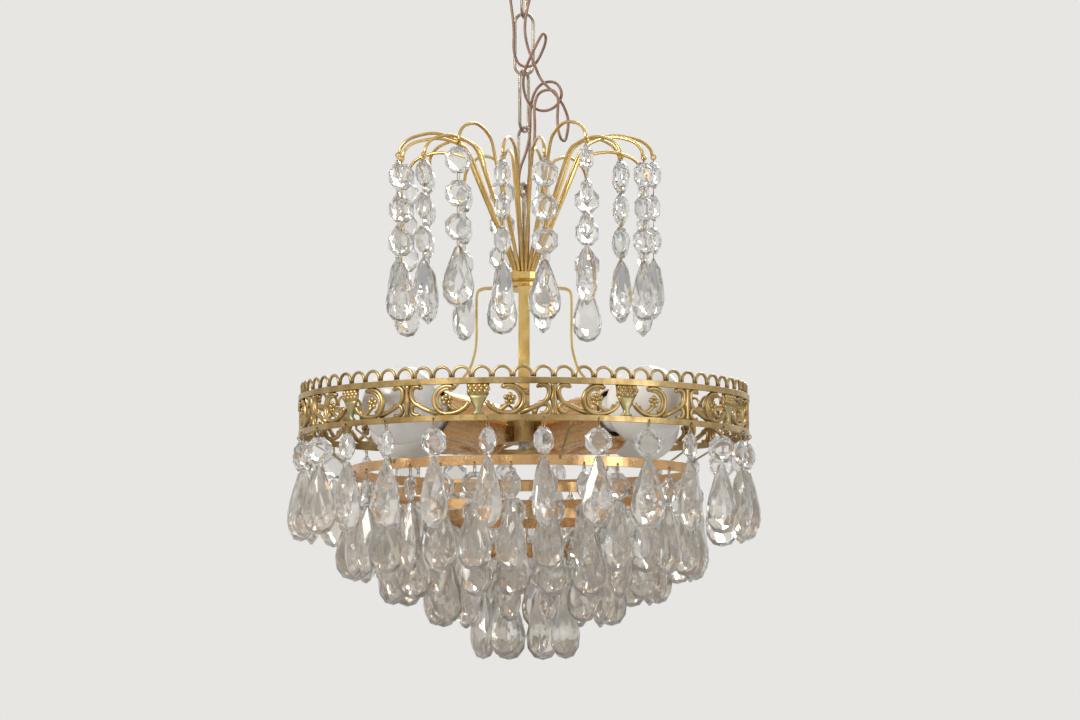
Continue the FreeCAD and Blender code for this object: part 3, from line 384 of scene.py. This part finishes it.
def smooth_hoop(node, radius, thick, material):
    """A smooth round strip in place of a flat-sided hoop, its outer edges a little broken."""
    low, high = lowest(node), max(point.z for point in points_of(node))
    section = [(radius - thick, low), (radius - BROKEN_EDGE, low), (radius, low + BROKEN_EDGE),
               (radius, high - BROKEN_EDGE), (radius - BROKEN_EDGE, high), (radius - thick, high)]
    add_piece(node + "_smooth", mesh_from(node + "_smooth", *lathe(section, 180)), material, node)


smooth_hoop("top_rail", RING, RAIL, aged_brass)
smooth_hoop("bottom_rail", RING, RAIL, aged_brass)
for tier, radius, _ in TIERS:
    smooth_hoop("tier_ring_%d" % tier, radius, TIER_THICK, copper_brass)


# ---------------------------------------------------------------- straps, covers and canopy

band_low = lowest("bottom_rail")


def straps():
    """The four flat straps, bent smoothly, from under the cup down and out to the band."""
    half_width, half_thick = 0.00425, 0.0009
    top = lowest("strap_disc") - half_thick
    seat = RING - RAIL - STRIP - 0.0012
    knee = [(0.005, 0), (0.026, 0), (0.0335, -0.0012), (0.0362, -0.005), (0.0366, -0.016)]
    foot = [(0.0366, 76), (0.0385, 63), (0.044, 50), (0.06, 34), (0.083, 27), (0.110, 25),
            (seat - 0.03, 23), (seat - 0.008, 22), (seat - 0.001, 23.5), (seat, 27), (seat, 30.5)]
    line = rounded([Vector((r, 0, top + z)) for r, z in knee] +
                   [Vector((r, 0, band_low + z * MM)) for r, z in foot], 4)
    points, faces = [], []
    for quarter in range(4):
        turn = Matrix.Rotation(math.pi / 2 * quarter, 3, "Z")
        base = len(points)
        for k, place in enumerate(line):
            along = (line[min(k + 1, len(line) - 1)] - line[max(k - 1, 0)]).normalized()
            normal = along.cross(Vector((0, 1, 0)))
            for side, out in ((1, 1), (-1, 1), (-1, -1), (1, -1)):
                points.append(turn @ (place + Vector((0, side * half_width, 0)) +
                                      normal * (out * half_thick)))
        faces += quads(base, len(line), 4)
        faces += [cap(base, 4), cap(base + 4 * (len(line) - 1), 4)]
    add_piece("smooth_straps", mesh_from("smooth_straps", points, faces), lacquered_brass, "frame_straps")


def lamp_frame(number):
    """The matrix of a lamp: its origin in the middle of the globe, +Z away from the holder."""
    joint = joint_named["bulb_turn_%d" % number]
    turn = Vector(joint["axis"]).to_track_quat("Z", "Y").to_matrix().to_4x4()
    return Matrix.Translation(Vector(joint["pos_m"])) @ turn


def covers():
    """The four brass tubes over the lampholders, each with a rolled mouth."""
    back, front = -0.094, -0.034
    profile = [(0.0021, back), (0.0175, back), (0.0185, back + 0.001), (0.0185, front - 0.0012),
               (0.0188, front - 0.0008), (0.0188, front - 0.0002), (0.0183, front), (0.0176, front - 0.0004),
               (0.0175, back + 0.0011), (0.0021, back + 0.0011)]
    points, faces = [], []
    for number in range(1, 5):
        more, more_faces = lathe(profile, 48, lamp_frame(number), len(points))
        points, faces = points + more, faces + more_faces
    add_piece("smooth_covers", mesh_from("smooth_covers", points, faces), copper_brass, "holder_covers")


def canopy():
    """The spun canopy as a smooth bell, open above."""
    wall, rim, floor_radius, bore = 0.0012, -0.006, 0.020, 0.0052
    low = lowest("canopy")
    radius = max(math.hypot(point.x, point.y) for point in points_of("canopy"))
    outside = [(floor_radius + (radius - floor_radius) * math.sin(math.radians(a)),
                rim + (low - rim) * math.cos(math.radians(a))) for a in range(0, 91, 6)]
    outside.append((radius, -0.0001))
    inside = [(r - wall * r / radius, z + (wall if z < rim else 0)) for r, z in reversed(outside)]
    profile = [(bore, low)] + outside + inside + [(bore, low + wall)]
    add_piece("smooth_canopy", mesh_from("smooth_canopy", *lathe(profile, 72)), lacquered_brass, "canopy")


HOLE_SIDES = 10
HOLE_RADIUS = 0.00085
HOLE_RISE = 0.0019           # a hole's middle above the strip's lower edge


def pin_holes(node, count, radius, strand_radius, first):
    """The small holes along a ring's lower edge, each with the wire hook that hangs from it. A hole is not
    cut: a thin dark disc on the ring is painted shade in its place."""
    low = lowest(node)
    level = low + HOLE_RISE
    hooks, points, faces = [], [], []
    for k in range(count):
        out, across = compass(math.radians(first + k * 360 / count))
        base = len(points)
        for depth in (0.0, 0.00012):
            points += [out * (radius + depth) + across * (HOLE_RADIUS * math.cos(a)) +
                       upright(level + HOLE_RADIUS * math.sin(a)) for a in angles(HOLE_SIDES)]
        faces += quads(base, 2, HOLE_SIDES) + [cap(base + HOLE_SIDES, HOLE_SIDES), cap(base, HOLE_SIDES)]
        hooks.append([out * r + upright(z) for r, z in (
            (radius + 0.0001, level), (radius + 0.0009, level - 0.0002), (radius + 0.0012, level - 0.0012),
            (radius + 0.0006, low - 0.0006), (strand_radius, low - 0.0022))])
    # The dark discs are painted shade standing in for the holes, in the lampholders' dark plastic material.
    add_piece(node + "_holes", mesh_from(node + "_holes", points, faces), dark_plastic, node)
    add_piece(node + "_hooks", tubes(node + "_hooks", [rounded(hook, 3) for hook in hooks], FINE_WIRE, 6),
              wire_metal, node, True)


straps()
covers()
canopy()
pin_holes("bottom_rail", 26, RING, RING - RAIL, -85)
for tier, radius, count in TIERS:
    pin_holes("tier_ring_%d" % tier, count, radius, radius - TIER_THICK / 2, -90 + 4 * tier)


# ---------------------------------------------------------------- gallery

# The strip repeats in half units, each the mirror of the next. A half unit is drawn in millimetres:
# y from the middle of a baluster to the middle of an urn, and z up from the bottom rail's edge.
HALF_UNITS = 19
HALF_ANGLE = 2 * math.pi / HALF_UNITS
HALF_LENGTH = 0.0564
DRAWN_LENGTH = 53.7
DRAWN_SCALE = HALF_LENGTH / (DRAWN_LENGTH / 1000)
BAND_TURN = math.radians(-82.4)
STRIP_RADIUS = RING - RAIL - STRIP / 2
FLOWER = (31, 16.2)
SCALLOPS = 70


def on_band(half, y, z, out):
    """A point of the strip: its half unit, the way along it, the height and the relief, in metres."""
    along = HALF_LENGTH - y if half % 2 else y
    angle = BAND_TURN + (half - 10) * HALF_ANGLE + along / HALF_LENGTH * HALF_ANGLE
    radius = STRIP_RADIUS + out
    return Vector((radius * math.cos(angle), radius * math.sin(angle), band_low + z))


def drawn(half, y, z, out):
    """The same from the drawing's millimetres."""
    return on_band(half, y * DRAWN_SCALE * MM, z * MM, out)


def arc(cy, cz, ry, rz, start, end, steps):
    """Points of the drawing along an ellipse, between two angles in degrees."""
    turns = [math.radians(start + (end - start) * k / steps) for k in range(steps + 1)]
    return [(cy + ry * math.cos(a), cz + rz * math.sin(a)) for a in turns]


STROKES = (
    (0.0019, (arc(31.5, 15.8, 10.2, 10.3, 62, 262, 22) + arc(31.5, 17.5, 16.5, 12, 268, 345, 10),
              arc(7.6, 22.5, 4.2, 4.0, 50, 180, 8) + arc(13, 21, 9.7, 9.5, 186, 235, 4) +
              [(12, 10.8), (17, 8.4), (24, 5.6)])),
    (0.0016, (arc(8.2, 9.3, 4.4, 4.2, 60, 300, 14), [(31, 13.5), (33.5, 11), (36.5, 8.6), (39.5, 7.2)])),
    (0.0012, (arc(31.8, 16, 8.0, 8.2, 80, 240, 14), [(39, 7), (42, 9.5), (43.5, 12.5)])),
)


def gallery_strokes():
    """The scrolls, curls, stems and leaves, in three thicknesses."""
    for radius, group in STROKES:
        lines = [[drawn(half, y, z, 0.0004) for y, z in stroke]
                 for half in range(HALF_UNITS) for stroke in group]
        add_piece("gallery_strokes_%d" % round(radius * 1e5), tubes("strokes", lines, radius, 8),
                  aged_brass, "gallery_band", True)


def gallery_bosses():
    """The petals, the buds on the scrolls and the fruit on the urns."""
    rings, steps, squash = 5, 8, 0.7
    points, faces = [], []

    def boss(half, y, z, size, relief=0.0004):
        """A rounded boss on the strip."""
        centre, base = drawn(half, y, z, relief), len(points)
        out = Vector((centre.x, centre.y, 0)).normalized()
        side = Vector((-out.y, out.x, 0))
        for a in (math.pi / 2 * ring / rings for ring in range(rings)):
            points.extend(centre + side * (size * math.cos(a) * math.cos(t)) +
                          upright(1) * (size * math.cos(a) * math.sin(t)) +
                          out * (size * squash * math.sin(a)) for t in angles(steps))
        points.append(centre + out * size * squash)
        top, row = base + rings * steps, base + (rings - 1) * steps
        faces.extend(quads(base, rings, steps))
        faces.extend([row + k, row + (k + 1) % steps, top] for k in range(steps))
        faces.append(cap(base, steps)[::-1])

    for half in range(HALF_UNITS):
        for petal in range(5):
            a = math.radians(72 * petal + 20)
            boss(half, FLOWER[0] + 2.9 * math.cos(a), FLOWER[1] + 2.9 * math.sin(a), 0.0021)
        boss(half, *FLOWER, 0.0016, 0.0012)
        for y, z, size in ((11.2, 25.4, 0.0016), (10.6, 12.8, 0.0015), (36, 25.3, 0.0017),
                           (46.5, 13, 0.0014), (20, 7.4, 0.0012)):
            boss(half, y, z, size)
        if half % 2 == 0:
            for row, z in enumerate((21.6, 23.6, 25.6)):
                for k in range(4):
                    boss(half, DRAWN_LENGTH + (k - 1.5) * 3.9 + row % 2 * 1.2, z, 0.0022, 0.0014)
            for k in range(5):
                boss(half, DRAWN_LENGTH + (k - 2) * 2.6, 19.6, 0.0013, 0.0008)
    add_piece("gallery_bosses", mesh_from("gallery_bosses", points, faces), aged_brass, "gallery_band", True)


def gallery_posts(name, material, middle, profile):
    """Posts cut from the strip, one to a unit, bulged a little towards the room. The profile is half
    widths at heights, in millimetres."""
    front = [-1 + k / 4 for k in range(9)]
    around = ([(t, 0.0007 + 0.0014 * math.sqrt(1 - t * t)) for t in front] +
              [(-t, -0.0009) for t in front])
    points, faces = [], []
    for half in range(0, HALF_UNITS, 2):
        base = len(points)
        for z, width in profile:
            points += [on_band(half, middle + t * width * MM, z * MM, out) for t, out in around]
        faces += quads(base, len(profile), len(around))
        faces += [cap(base, len(around)), cap(base + (len(profile) - 1) * len(around), len(around))]
    add_piece(name, mesh_from(name, points, faces), material, "gallery_band", True)


def gallery_margins():
    """The plain strips along the band's lower and upper edges."""
    inner, outer = STRIP_RADIUS - STRIP / 2, STRIP_RADIUS + STRIP / 2
    points, faces = [], []
    for low, high in ((0.0002, 0.0045), (0.0275, 0.0318)):
        section = [(inner, band_low + low), (outer, band_low + low),
                   (outer, band_low + high), (inner, band_low + high)]
        more, more_faces = lathe(section, 190, base=len(points))
        points, faces = points + more, faces + more_faces
    add_piece("gallery_margins", mesh_from("gallery_margins", points, faces), aged_brass, "gallery_band")


def gallery_scallops():
    """The row of open scallops on the top rail."""
    pitch, steps = 2 * math.pi / SCALLOPS, 12
    lines = []
    for number in range(SCALLOPS):
        line = []
        for n in range(steps + 1):
            a = math.pi * n / steps
            angle = BAND_TURN + (number + 0.5) * pitch + math.cos(a) * pitch * 0.43
            rise = 0.0015 + 0.0063 * math.sin(a) if 0 < n < steps else 0.0
            line.append(compass(angle)[0] * STRIP_RADIUS + upright(band_low + 0.0325 + rise))
        lines.append(line)
    add_piece("gallery_scallops", tubes("gallery_scallops", lines, 0.00115, 8), aged_brass,
              "gallery_band", True)


gallery_strokes()
gallery_bosses()
gallery_posts("gallery_balusters", aged_brass, 0.0,
              [(4, 3.2), (6, 1.7), (10, 1.5), (14.5, 2.4), (16, 3.2), (17.5, 2.4), (22, 1.4), (26, 2.2),
               (28, 3.2)])
gallery_posts("gallery_urns", green_brass, HALF_LENGTH,
              [(4, 4.6), (5.8, 4.2), (7, 2.4), (9, 2.4), (13, 4.4), (17, 6.3), (19.4, 7.6)])
gallery_posts("gallery_urn_tops", aged_brass, HALF_LENGTH,
              [(19, 7.6), (20, 8.2), (21, 7.8), (24, 8.0), (28, 8.6)])
gallery_margins()
gallery_scallops()


# ---------------------------------------------------------------- crystals

BEAD_HEIGHT = 0.020          # height of an octagon, which tells it from a teardrop in the CAD model
LOOP_REACH = 0.0015          # a wire solid wider than this is an open loop, not a pin between stones


def cut_stone(outline, centre, levels, girdle):
    """A cut stone from its outline in the XZ plane. Each level is (scale, height): the outline drawn
    in towards the centre, its corners half a step on from the level before, and the last is the
    table. The girdle is the stone's edge thickness. The back mirrors the front."""
    count = len(outline)

    def level_points(scale, height, half_step):
        points = []
        for k in range(count):
            x, z = outline[k]
            if half_step:
                nx, nz = outline[(k + 1) % count]
                x, z = (x + nx) / 2, (z + nz) / 2
            points.append(Vector((centre[0] + (x - centre[0]) * scale, -height,
                                  centre[1] + (z - centre[1]) * scale)))
        return points

    rings = [level_points(1, girdle / 2, False)]
    for number, (scale, height) in enumerate(levels, start=1):
        rings.append(level_points(scale, height, number % 2 == 1))
    points, faces = [], []
    for side in (1, -1):
        base = len(points)
        for ring in rings:
            points += [Vector((p.x, p.y * side, p.z)) for p in ring]
        for number in range(len(rings) - 1):
            low, high = base + number * count, base + (number + 1) * count
            for k in range(count):
                after = (k + 1) % count
                if number % 2 == 0:
                    faces += [(low + k, low + after, high + k), (low + after, high + after, high + k)]
                else:
                    faces += [(low + k, high + after, high + k), (low + k, low + after, high + after)]
        faces.append(cap(base + (len(rings) - 1) * count, count))
    back = len(rings) * count
    faces += [(k, back + k, back + (k + 1) % count, (k + 1) % count) for k in range(count)]
    return points, faces


def octagon_stone(size, thick):
    """An octagon with a flat side up."""
    radius = size / 2 / math.cos(math.pi / 8)
    corners = [math.pi / 8 * (2 * k + 1) for k in range(8)]
    return cut_stone([(radius * math.cos(a), radius * math.sin(a)) for a in corners], (0, 0),
                     [(0.84, thick * 0.3), (0.58, thick / 2)], thick * 0.14)


def drop_stone(length, width, thick):
    """A teardrop with its point at the origin: a full round bottom under a long neck."""
    profile = ((0, 0), (0.2, 0.03), (0.46, 0.2), (0.8, 0.44), (1, 0.66), (0.9, 0.84), (0.52, 0.965), (0, 1))
    right = [(width / 2 * x, -length * z) for x, z in profile]
    outline = right + [(-x, z) for x, z in reversed(right[1:-1])]
    return cut_stone(outline, (0, -length * 0.62), [(0.74, thick * 0.36), (0.36, thick / 2)], thick * 0.1)


def islands(node):
    """The separate solids of a CAD node, each as the points of its surface."""
    work = bmesh.new()
    work.from_mesh(frame["nodes"][node].data)
    bmesh.ops.remove_doubles(work, verts=work.verts, dist=1e-6)
    seen, found = set(), []
    for start in work.verts:
        if start.index in seen:
            continue
        seen.add(start.index)
        waiting, group = [start], []
        while waiting:
            vertex = waiting.pop()
            group.append(vertex.co.copy())
            for edge in vertex.link_edges:
                other = edge.other_vert(vertex)
                if other.index not in seen:
                    seen.add(other.index)
                    waiting.append(other)
        found.append(group)
    work.free()
    return found


def wire_lines(group, middle, low, high):
    """The fine wires in place of one CAD wire: a loop at an arm's tip, or a pair of bows that join
    two stones."""
    out = Vector((middle.x, middle.y, 0)).normalized()
    across = Vector((-out.y, out.x, 0))
    if max(math.hypot(p.x - middle.x, p.y - middle.y) for p in group) > LOOP_REACH:
        half = max((p - middle).dot(across) for p in group) - 0.0005
        tall = (high - low) / 2 - 0.0005
        centre = Vector((middle.x, middle.y, (low + high) / 2))
        loop = [centre + across * (half * math.cos(a)) + upright(tall * math.sin(a)) for a in angles(20)]
        return [loop + loop[:1]]
    bow = [(0.0, high + 0.0018), (0.9, high + 0.0006), (1.0, (low + high) / 2), (0.9, low - 0.0006),
           (0.0, low - 0.0018)]
    return [[Vector((middle.x, middle.y, z)) + across * (side * x * 0.0009) for x, z in bow]
            for side in (-1, 1)]


def dress_strands(node):
    """Cut stones and fine wires in place of a CAD strand node, from the solids it holds."""
    stones = {"octagon": ([], []), "drop": ([], [])}
    lines = []
    for group in islands(node):
        low, high = min(p.z for p in group), max(p.z for p in group)
        middle = sum(group, Vector()) / len(group)
        tall = high - low
        if tall < BEAD_HEIGHT * 0.9:
            lines += wire_lines(group, middle, low, high)
            continue
        turn = Matrix.Rotation(facing(group, middle), 4, "Z")
        across = [turn.inverted() @ (p - middle) for p in group]
        wide = max(p.x for p in across) - min(p.x for p in across)
        thick = max(p.y for p in across) - min(p.y for p in across)
        if tall < BEAD_HEIGHT * 1.2:
            kind, level = "octagon", (low + high) / 2
            points, faces = octagon_stone(tall, thick)
        else:
            kind, level = "drop", high
            points, faces = drop_stone(tall, wide, thick)
        all_points, all_faces = stones[kind]
        base = len(all_points)
        all_points += [turn @ p + Vector((middle.x, middle.y, level)) for p in points]
        all_faces += [[base + i for i in face] for face in faces]
    for kind, (points, faces) in stones.items():
        if points:
            clear = kind == "octagon" or node.startswith("crown")
            add_piece("%s_%s" % (node, kind), mesh_from(node + kind, points, faces),
                      clear_crystal if clear else crystal, node)
    if lines:
        add_piece(node + "_wires", tubes(node + "wires", lines, FINE_WIRE, 6), wire_metal, node, True)


for node in list(frame["nodes"]):
    if "strand" in node:
        dress_strands(node)


# ---------------------------------------------------------------- bulbs

GLOBE, CAP, NECK, CAP_LENGTH = 0.030, 0.013, 0.012, 0.024
THREAD_STEPS, THREAD_STEP, THREAD_DEPTH = 28, 0.0007, 0.0008


def lathe_mesh(name, profile, steps):
    """A mesh turned from an open profile, its poles closed."""
    mesh = mesh_from(name, *lathe(profile, steps, closed=False))
    work = bmesh.new()
    work.from_mesh(mesh)
    bmesh.ops.remove_doubles(work, verts=work.verts, dist=1e-7)
    work.to_mesh(mesh)
    work.free()
    return mesh


def dress_bulb(number):
    """A smooth opal globe on its neck and threaded cap, turned about the line of the CAD bulb."""
    node = "bulb_%d" % number
    cap_top = -GLOBE - NECK
    profile = [(GLOBE * math.sin(math.radians(a)), GLOBE * math.cos(math.radians(a)))
               for a in range(0, 146, 5)]
    profile += [(CAP + 0.0028, -GLOBE + 0.001), (CAP + 0.0014, -GLOBE - 0.004), (CAP, cap_top)]
    screw = [(CAP, cap_top)]
    screw += [(CAP - (THREAD_DEPTH if k % 4 in (1, 2) else 0.0), cap_top - 0.001 - k * THREAD_STEP)
              for k in range(THREAD_STEPS)]
    screw += [(CAP * 0.8, cap_top - CAP_LENGTH + 0.002), (0.0, cap_top - CAP_LENGTH)]
    for mesh, material, part in ((lathe_mesh(node + "_glass", profile, 64), opal_glass, "globe"),
                                 (lathe_mesh(node + "_screw", screw, 40), chain_metal, "cap")):
        mesh.transform(lamp_frame(number))
        add_piece("%s_%s" % (node, part), mesh, material, node, True)


for number in range(1, 5):
    dress_bulb(number)


# ---------------------------------------------------------------- lamp wires

FLEX = 2.2 * MM
CUP_FLOOR = -306.4
ROUTES = {
    "lamp_wire_1": [
        (-14, 0, -34.5), (-14, 0, -52), (-12.5, -3, -74), (-9.5, -5, -96), (-7.5, -6, -113),
        (-8.5, -6, -128), (-4, -6.5, -141), (8, -7, -141), (14, -8.5, -130), (17.5, -11.5, -120),
        (15, -23.5, -116), (9.5, -28.5, -127), (4, -24.5, -138), (-1, -18, -150), (0, -13, -164),
        (6, -11.5, -173.5), (16, -11, -177), (26, -10.5, -172), (30, -10, -162), (25, -9, -153),
        (15, -8.5, -153), (7.5, -9, -161), (4.5, -10.5, -176), (5, -10.5, -192), (2, -10, -208),
        (-4, -9, -222), (-4.2, -8.2, -240), (-4, -5.6, -262), (-2.9, -3.5, -285), (-3.2, -3.4, CUP_FLOOR),
    ],
    "lamp_wire_2": [
        (14, 0, -34.5), (14, 0, -50), (10, -6, -70), (3.5, -13.5, -91), (0, -13.5, -110),
        (2, -12.5, -125), (8, -12, -140), (13, -14, -153), (22, -15, -161), (30, -15, -171),
        (34.5, -14, -183), (33.5, -16, -194), (31.5, -22.5, -202), (27.5, -32.5, -200),
        (25.5, -33, -189), (26, -29, -177), (26.5, -23, -167), (22.5, -15, -159.5), (11, -14.5, -161.5),
        (7.5, -15, -173), (8.5, -15.5, -187), (8, -14, -202), (4.5, -12, -220), (2.5, -9.5, -240),
        (3.8, -6, -262), (2.8, -3.6, -286), (3.2, -3.4, CUP_FLOOR),
    ],
}


def smooth_line(name, points):
    """The NURBS spline with these control points, in millimetres, as closely spaced points."""
    curve = bpy.data.curves.new(name, "CURVE")
    curve.dimensions = "3D"
    curve.resolution_u = 16
    spline = curve.splines.new("NURBS")
    spline.points.add(len(points) - 1)
    for point, place in zip(spline.points, points):
        point.co = (place[0] * MM, place[1] * MM, place[2] * MM, 1)
    spline.order_u = 3
    spline.use_endpoint_u = True
    holder = bpy.data.objects.new(name, curve)
    bpy.context.scene.collection.objects.link(holder)
    mesh = bpy.data.meshes.new_from_object(holder)
    line = [v.co.copy() for v in mesh.vertices]
    bpy.data.objects.remove(holder)
    bpy.data.meshes.remove(mesh)
    return line


chain_joints = [joint_named["chain_hinge_%d" % number] for number in range(1, 6)]
levels = [joint["pos_m"][2] for joint in chain_joints]
cuts = [(a + b) / 2 for a, b in zip(levels, levels[1:])]


def stretches(line):
    """The line in pieces, cut once at the middle height of each link, on the way down."""
    pieces, current, waiting = [], [], list(cuts)
    for k, place in enumerate(line):
        current.append(place)
        if waiting and all(p.z < waiting[0] for p in line[k:]):
            pieces.append(current)
            current = [place]
            waiting.pop(0)
    return pieces + [current]


for name, route in ROUTES.items():
    line = smooth_line(name, route)
    for number, (part, joint) in enumerate(zip(stretches(line), chain_joints), start=1):
        mesh = tubes(name, [part], FLEX / 2, 12, Vector((1, 0, 0)))
        piece = bpy.data.objects.new("%s_part_%d" % (name, number), mesh)
        bpy.context.scene.collection.objects.link(piece)
        mesh.materials.append(wire_cover)
        for face in mesh.polygons:
            face.use_smooth = len(face.vertices) == 4
        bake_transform(piece)
        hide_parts(name)


# ---------------------------------------------------------------- camera, floor and light

IMAGE_WIDTH = 1080
FOCAL_PIXELS = 5680
SENSOR = 36.0
CAMERA_PLACE = Vector((0.0123, -4.356, -0.772))
CAMERA_AIM = Vector((0.0123, 0.0, -0.368))
FLOOR_LEVEL = -1.25
FLOOR_REACH = 8
LAMP_AIM = Vector((0, 0, -0.4))

camera = bpy.data.objects.new("camera", bpy.data.cameras.new("camera"))
camera.data.sensor_width = SENSOR
camera.data.lens = SENSOR * FOCAL_PIXELS / IMAGE_WIDTH
camera.data.clip_end = 50
camera.location = CAMERA_PLACE
camera.rotation_euler = (CAMERA_AIM - CAMERA_PLACE).to_track_quat("-Z", "Y").to_euler()
bpy.context.scene.collection.objects.link(camera)
bpy.context.scene.camera = camera

floor_mesh = bpy.data.meshes.new("floor")
floor_mesh.from_pydata([(x * FLOOR_REACH, y * FLOOR_REACH, FLOOR_LEVEL)
                        for x, y in ((-1, -1), (1, -1), (1, 1), (-1, 1))], [], [(0, 1, 2, 3)])
floor = bpy.data.objects.new("floor", floor_mesh)
bpy.context.scene.collection.objects.link(floor)
floor_mesh.materials.append(node_material("floor", Base_Color=(0.74, 0.73, 0.71, 1), Roughness=0.8)[0])

# What the camera sees, straight, through the glass or in the metal, is the pale backdrop. The rest
# of the light comes from a dimmer, cooler world.
world = bpy.data.worlds.new("world")
bpy.context.scene.world = world
world.use_nodes = True
nodes, links = world.node_tree.nodes, world.node_tree.links
lighting = nodes["Background"]
lighting.inputs["Color"].default_value = (0.9, 0.93, 1.0, 1)
lighting.inputs["Strength"].default_value = 0.45
backdrop = nodes.new("ShaderNodeBackground")
backdrop.inputs["Color"].default_value = (0.8, 0.79, 0.77, 1)
backdrop.inputs["Strength"].default_value = 1.0
rays = nodes.new("ShaderNodeLightPath")
seen = rays.outputs["Is Camera Ray"]
for kind in ("Is Transmission Ray", "Is Glossy Ray"):
    either = nodes.new("ShaderNodeMath")
    either.operation = "MAXIMUM"
    links.new(seen, either.inputs[0])
    links.new(rays.outputs[kind], either.inputs[1])
    seen = either.outputs[0]
mixed = nodes.new("ShaderNodeMixShader")
links.new(seen, mixed.inputs["Fac"])
links.new(lighting.outputs[0], mixed.inputs[1])
links.new(backdrop.outputs[0], mixed.inputs[2])
links.new(mixed.outputs[0], nodes["World Output"].inputs["Surface"])


def softbox(name, place, size, power, colour):
    """A square area lamp turned to the middle of the object."""
    lamp = bpy.data.lights.new(name, "AREA")
    lamp.size, lamp.energy, lamp.color = size, power, colour
    holder = bpy.data.objects.new(name, lamp)
    holder.location = place
    holder.rotation_euler = (LAMP_AIM - Vector(place)).to_track_quat("-Z", "Y").to_euler()
    bpy.context.scene.collection.objects.link(holder)


softbox("key", (-1.8, -1.9, 0.9), 1.0, 55, (1.0, 0.95, 0.88))
softbox("fill", (2.2, -1.6, -0.2), 1.4, 16, (0.9, 0.95, 1.0))
softbox("back", (0.6, 2.0, 0.8), 1.0, 24, (1.0, 0.98, 0.94))

bpy.context.scene.view_settings.view_transform = "Standard"
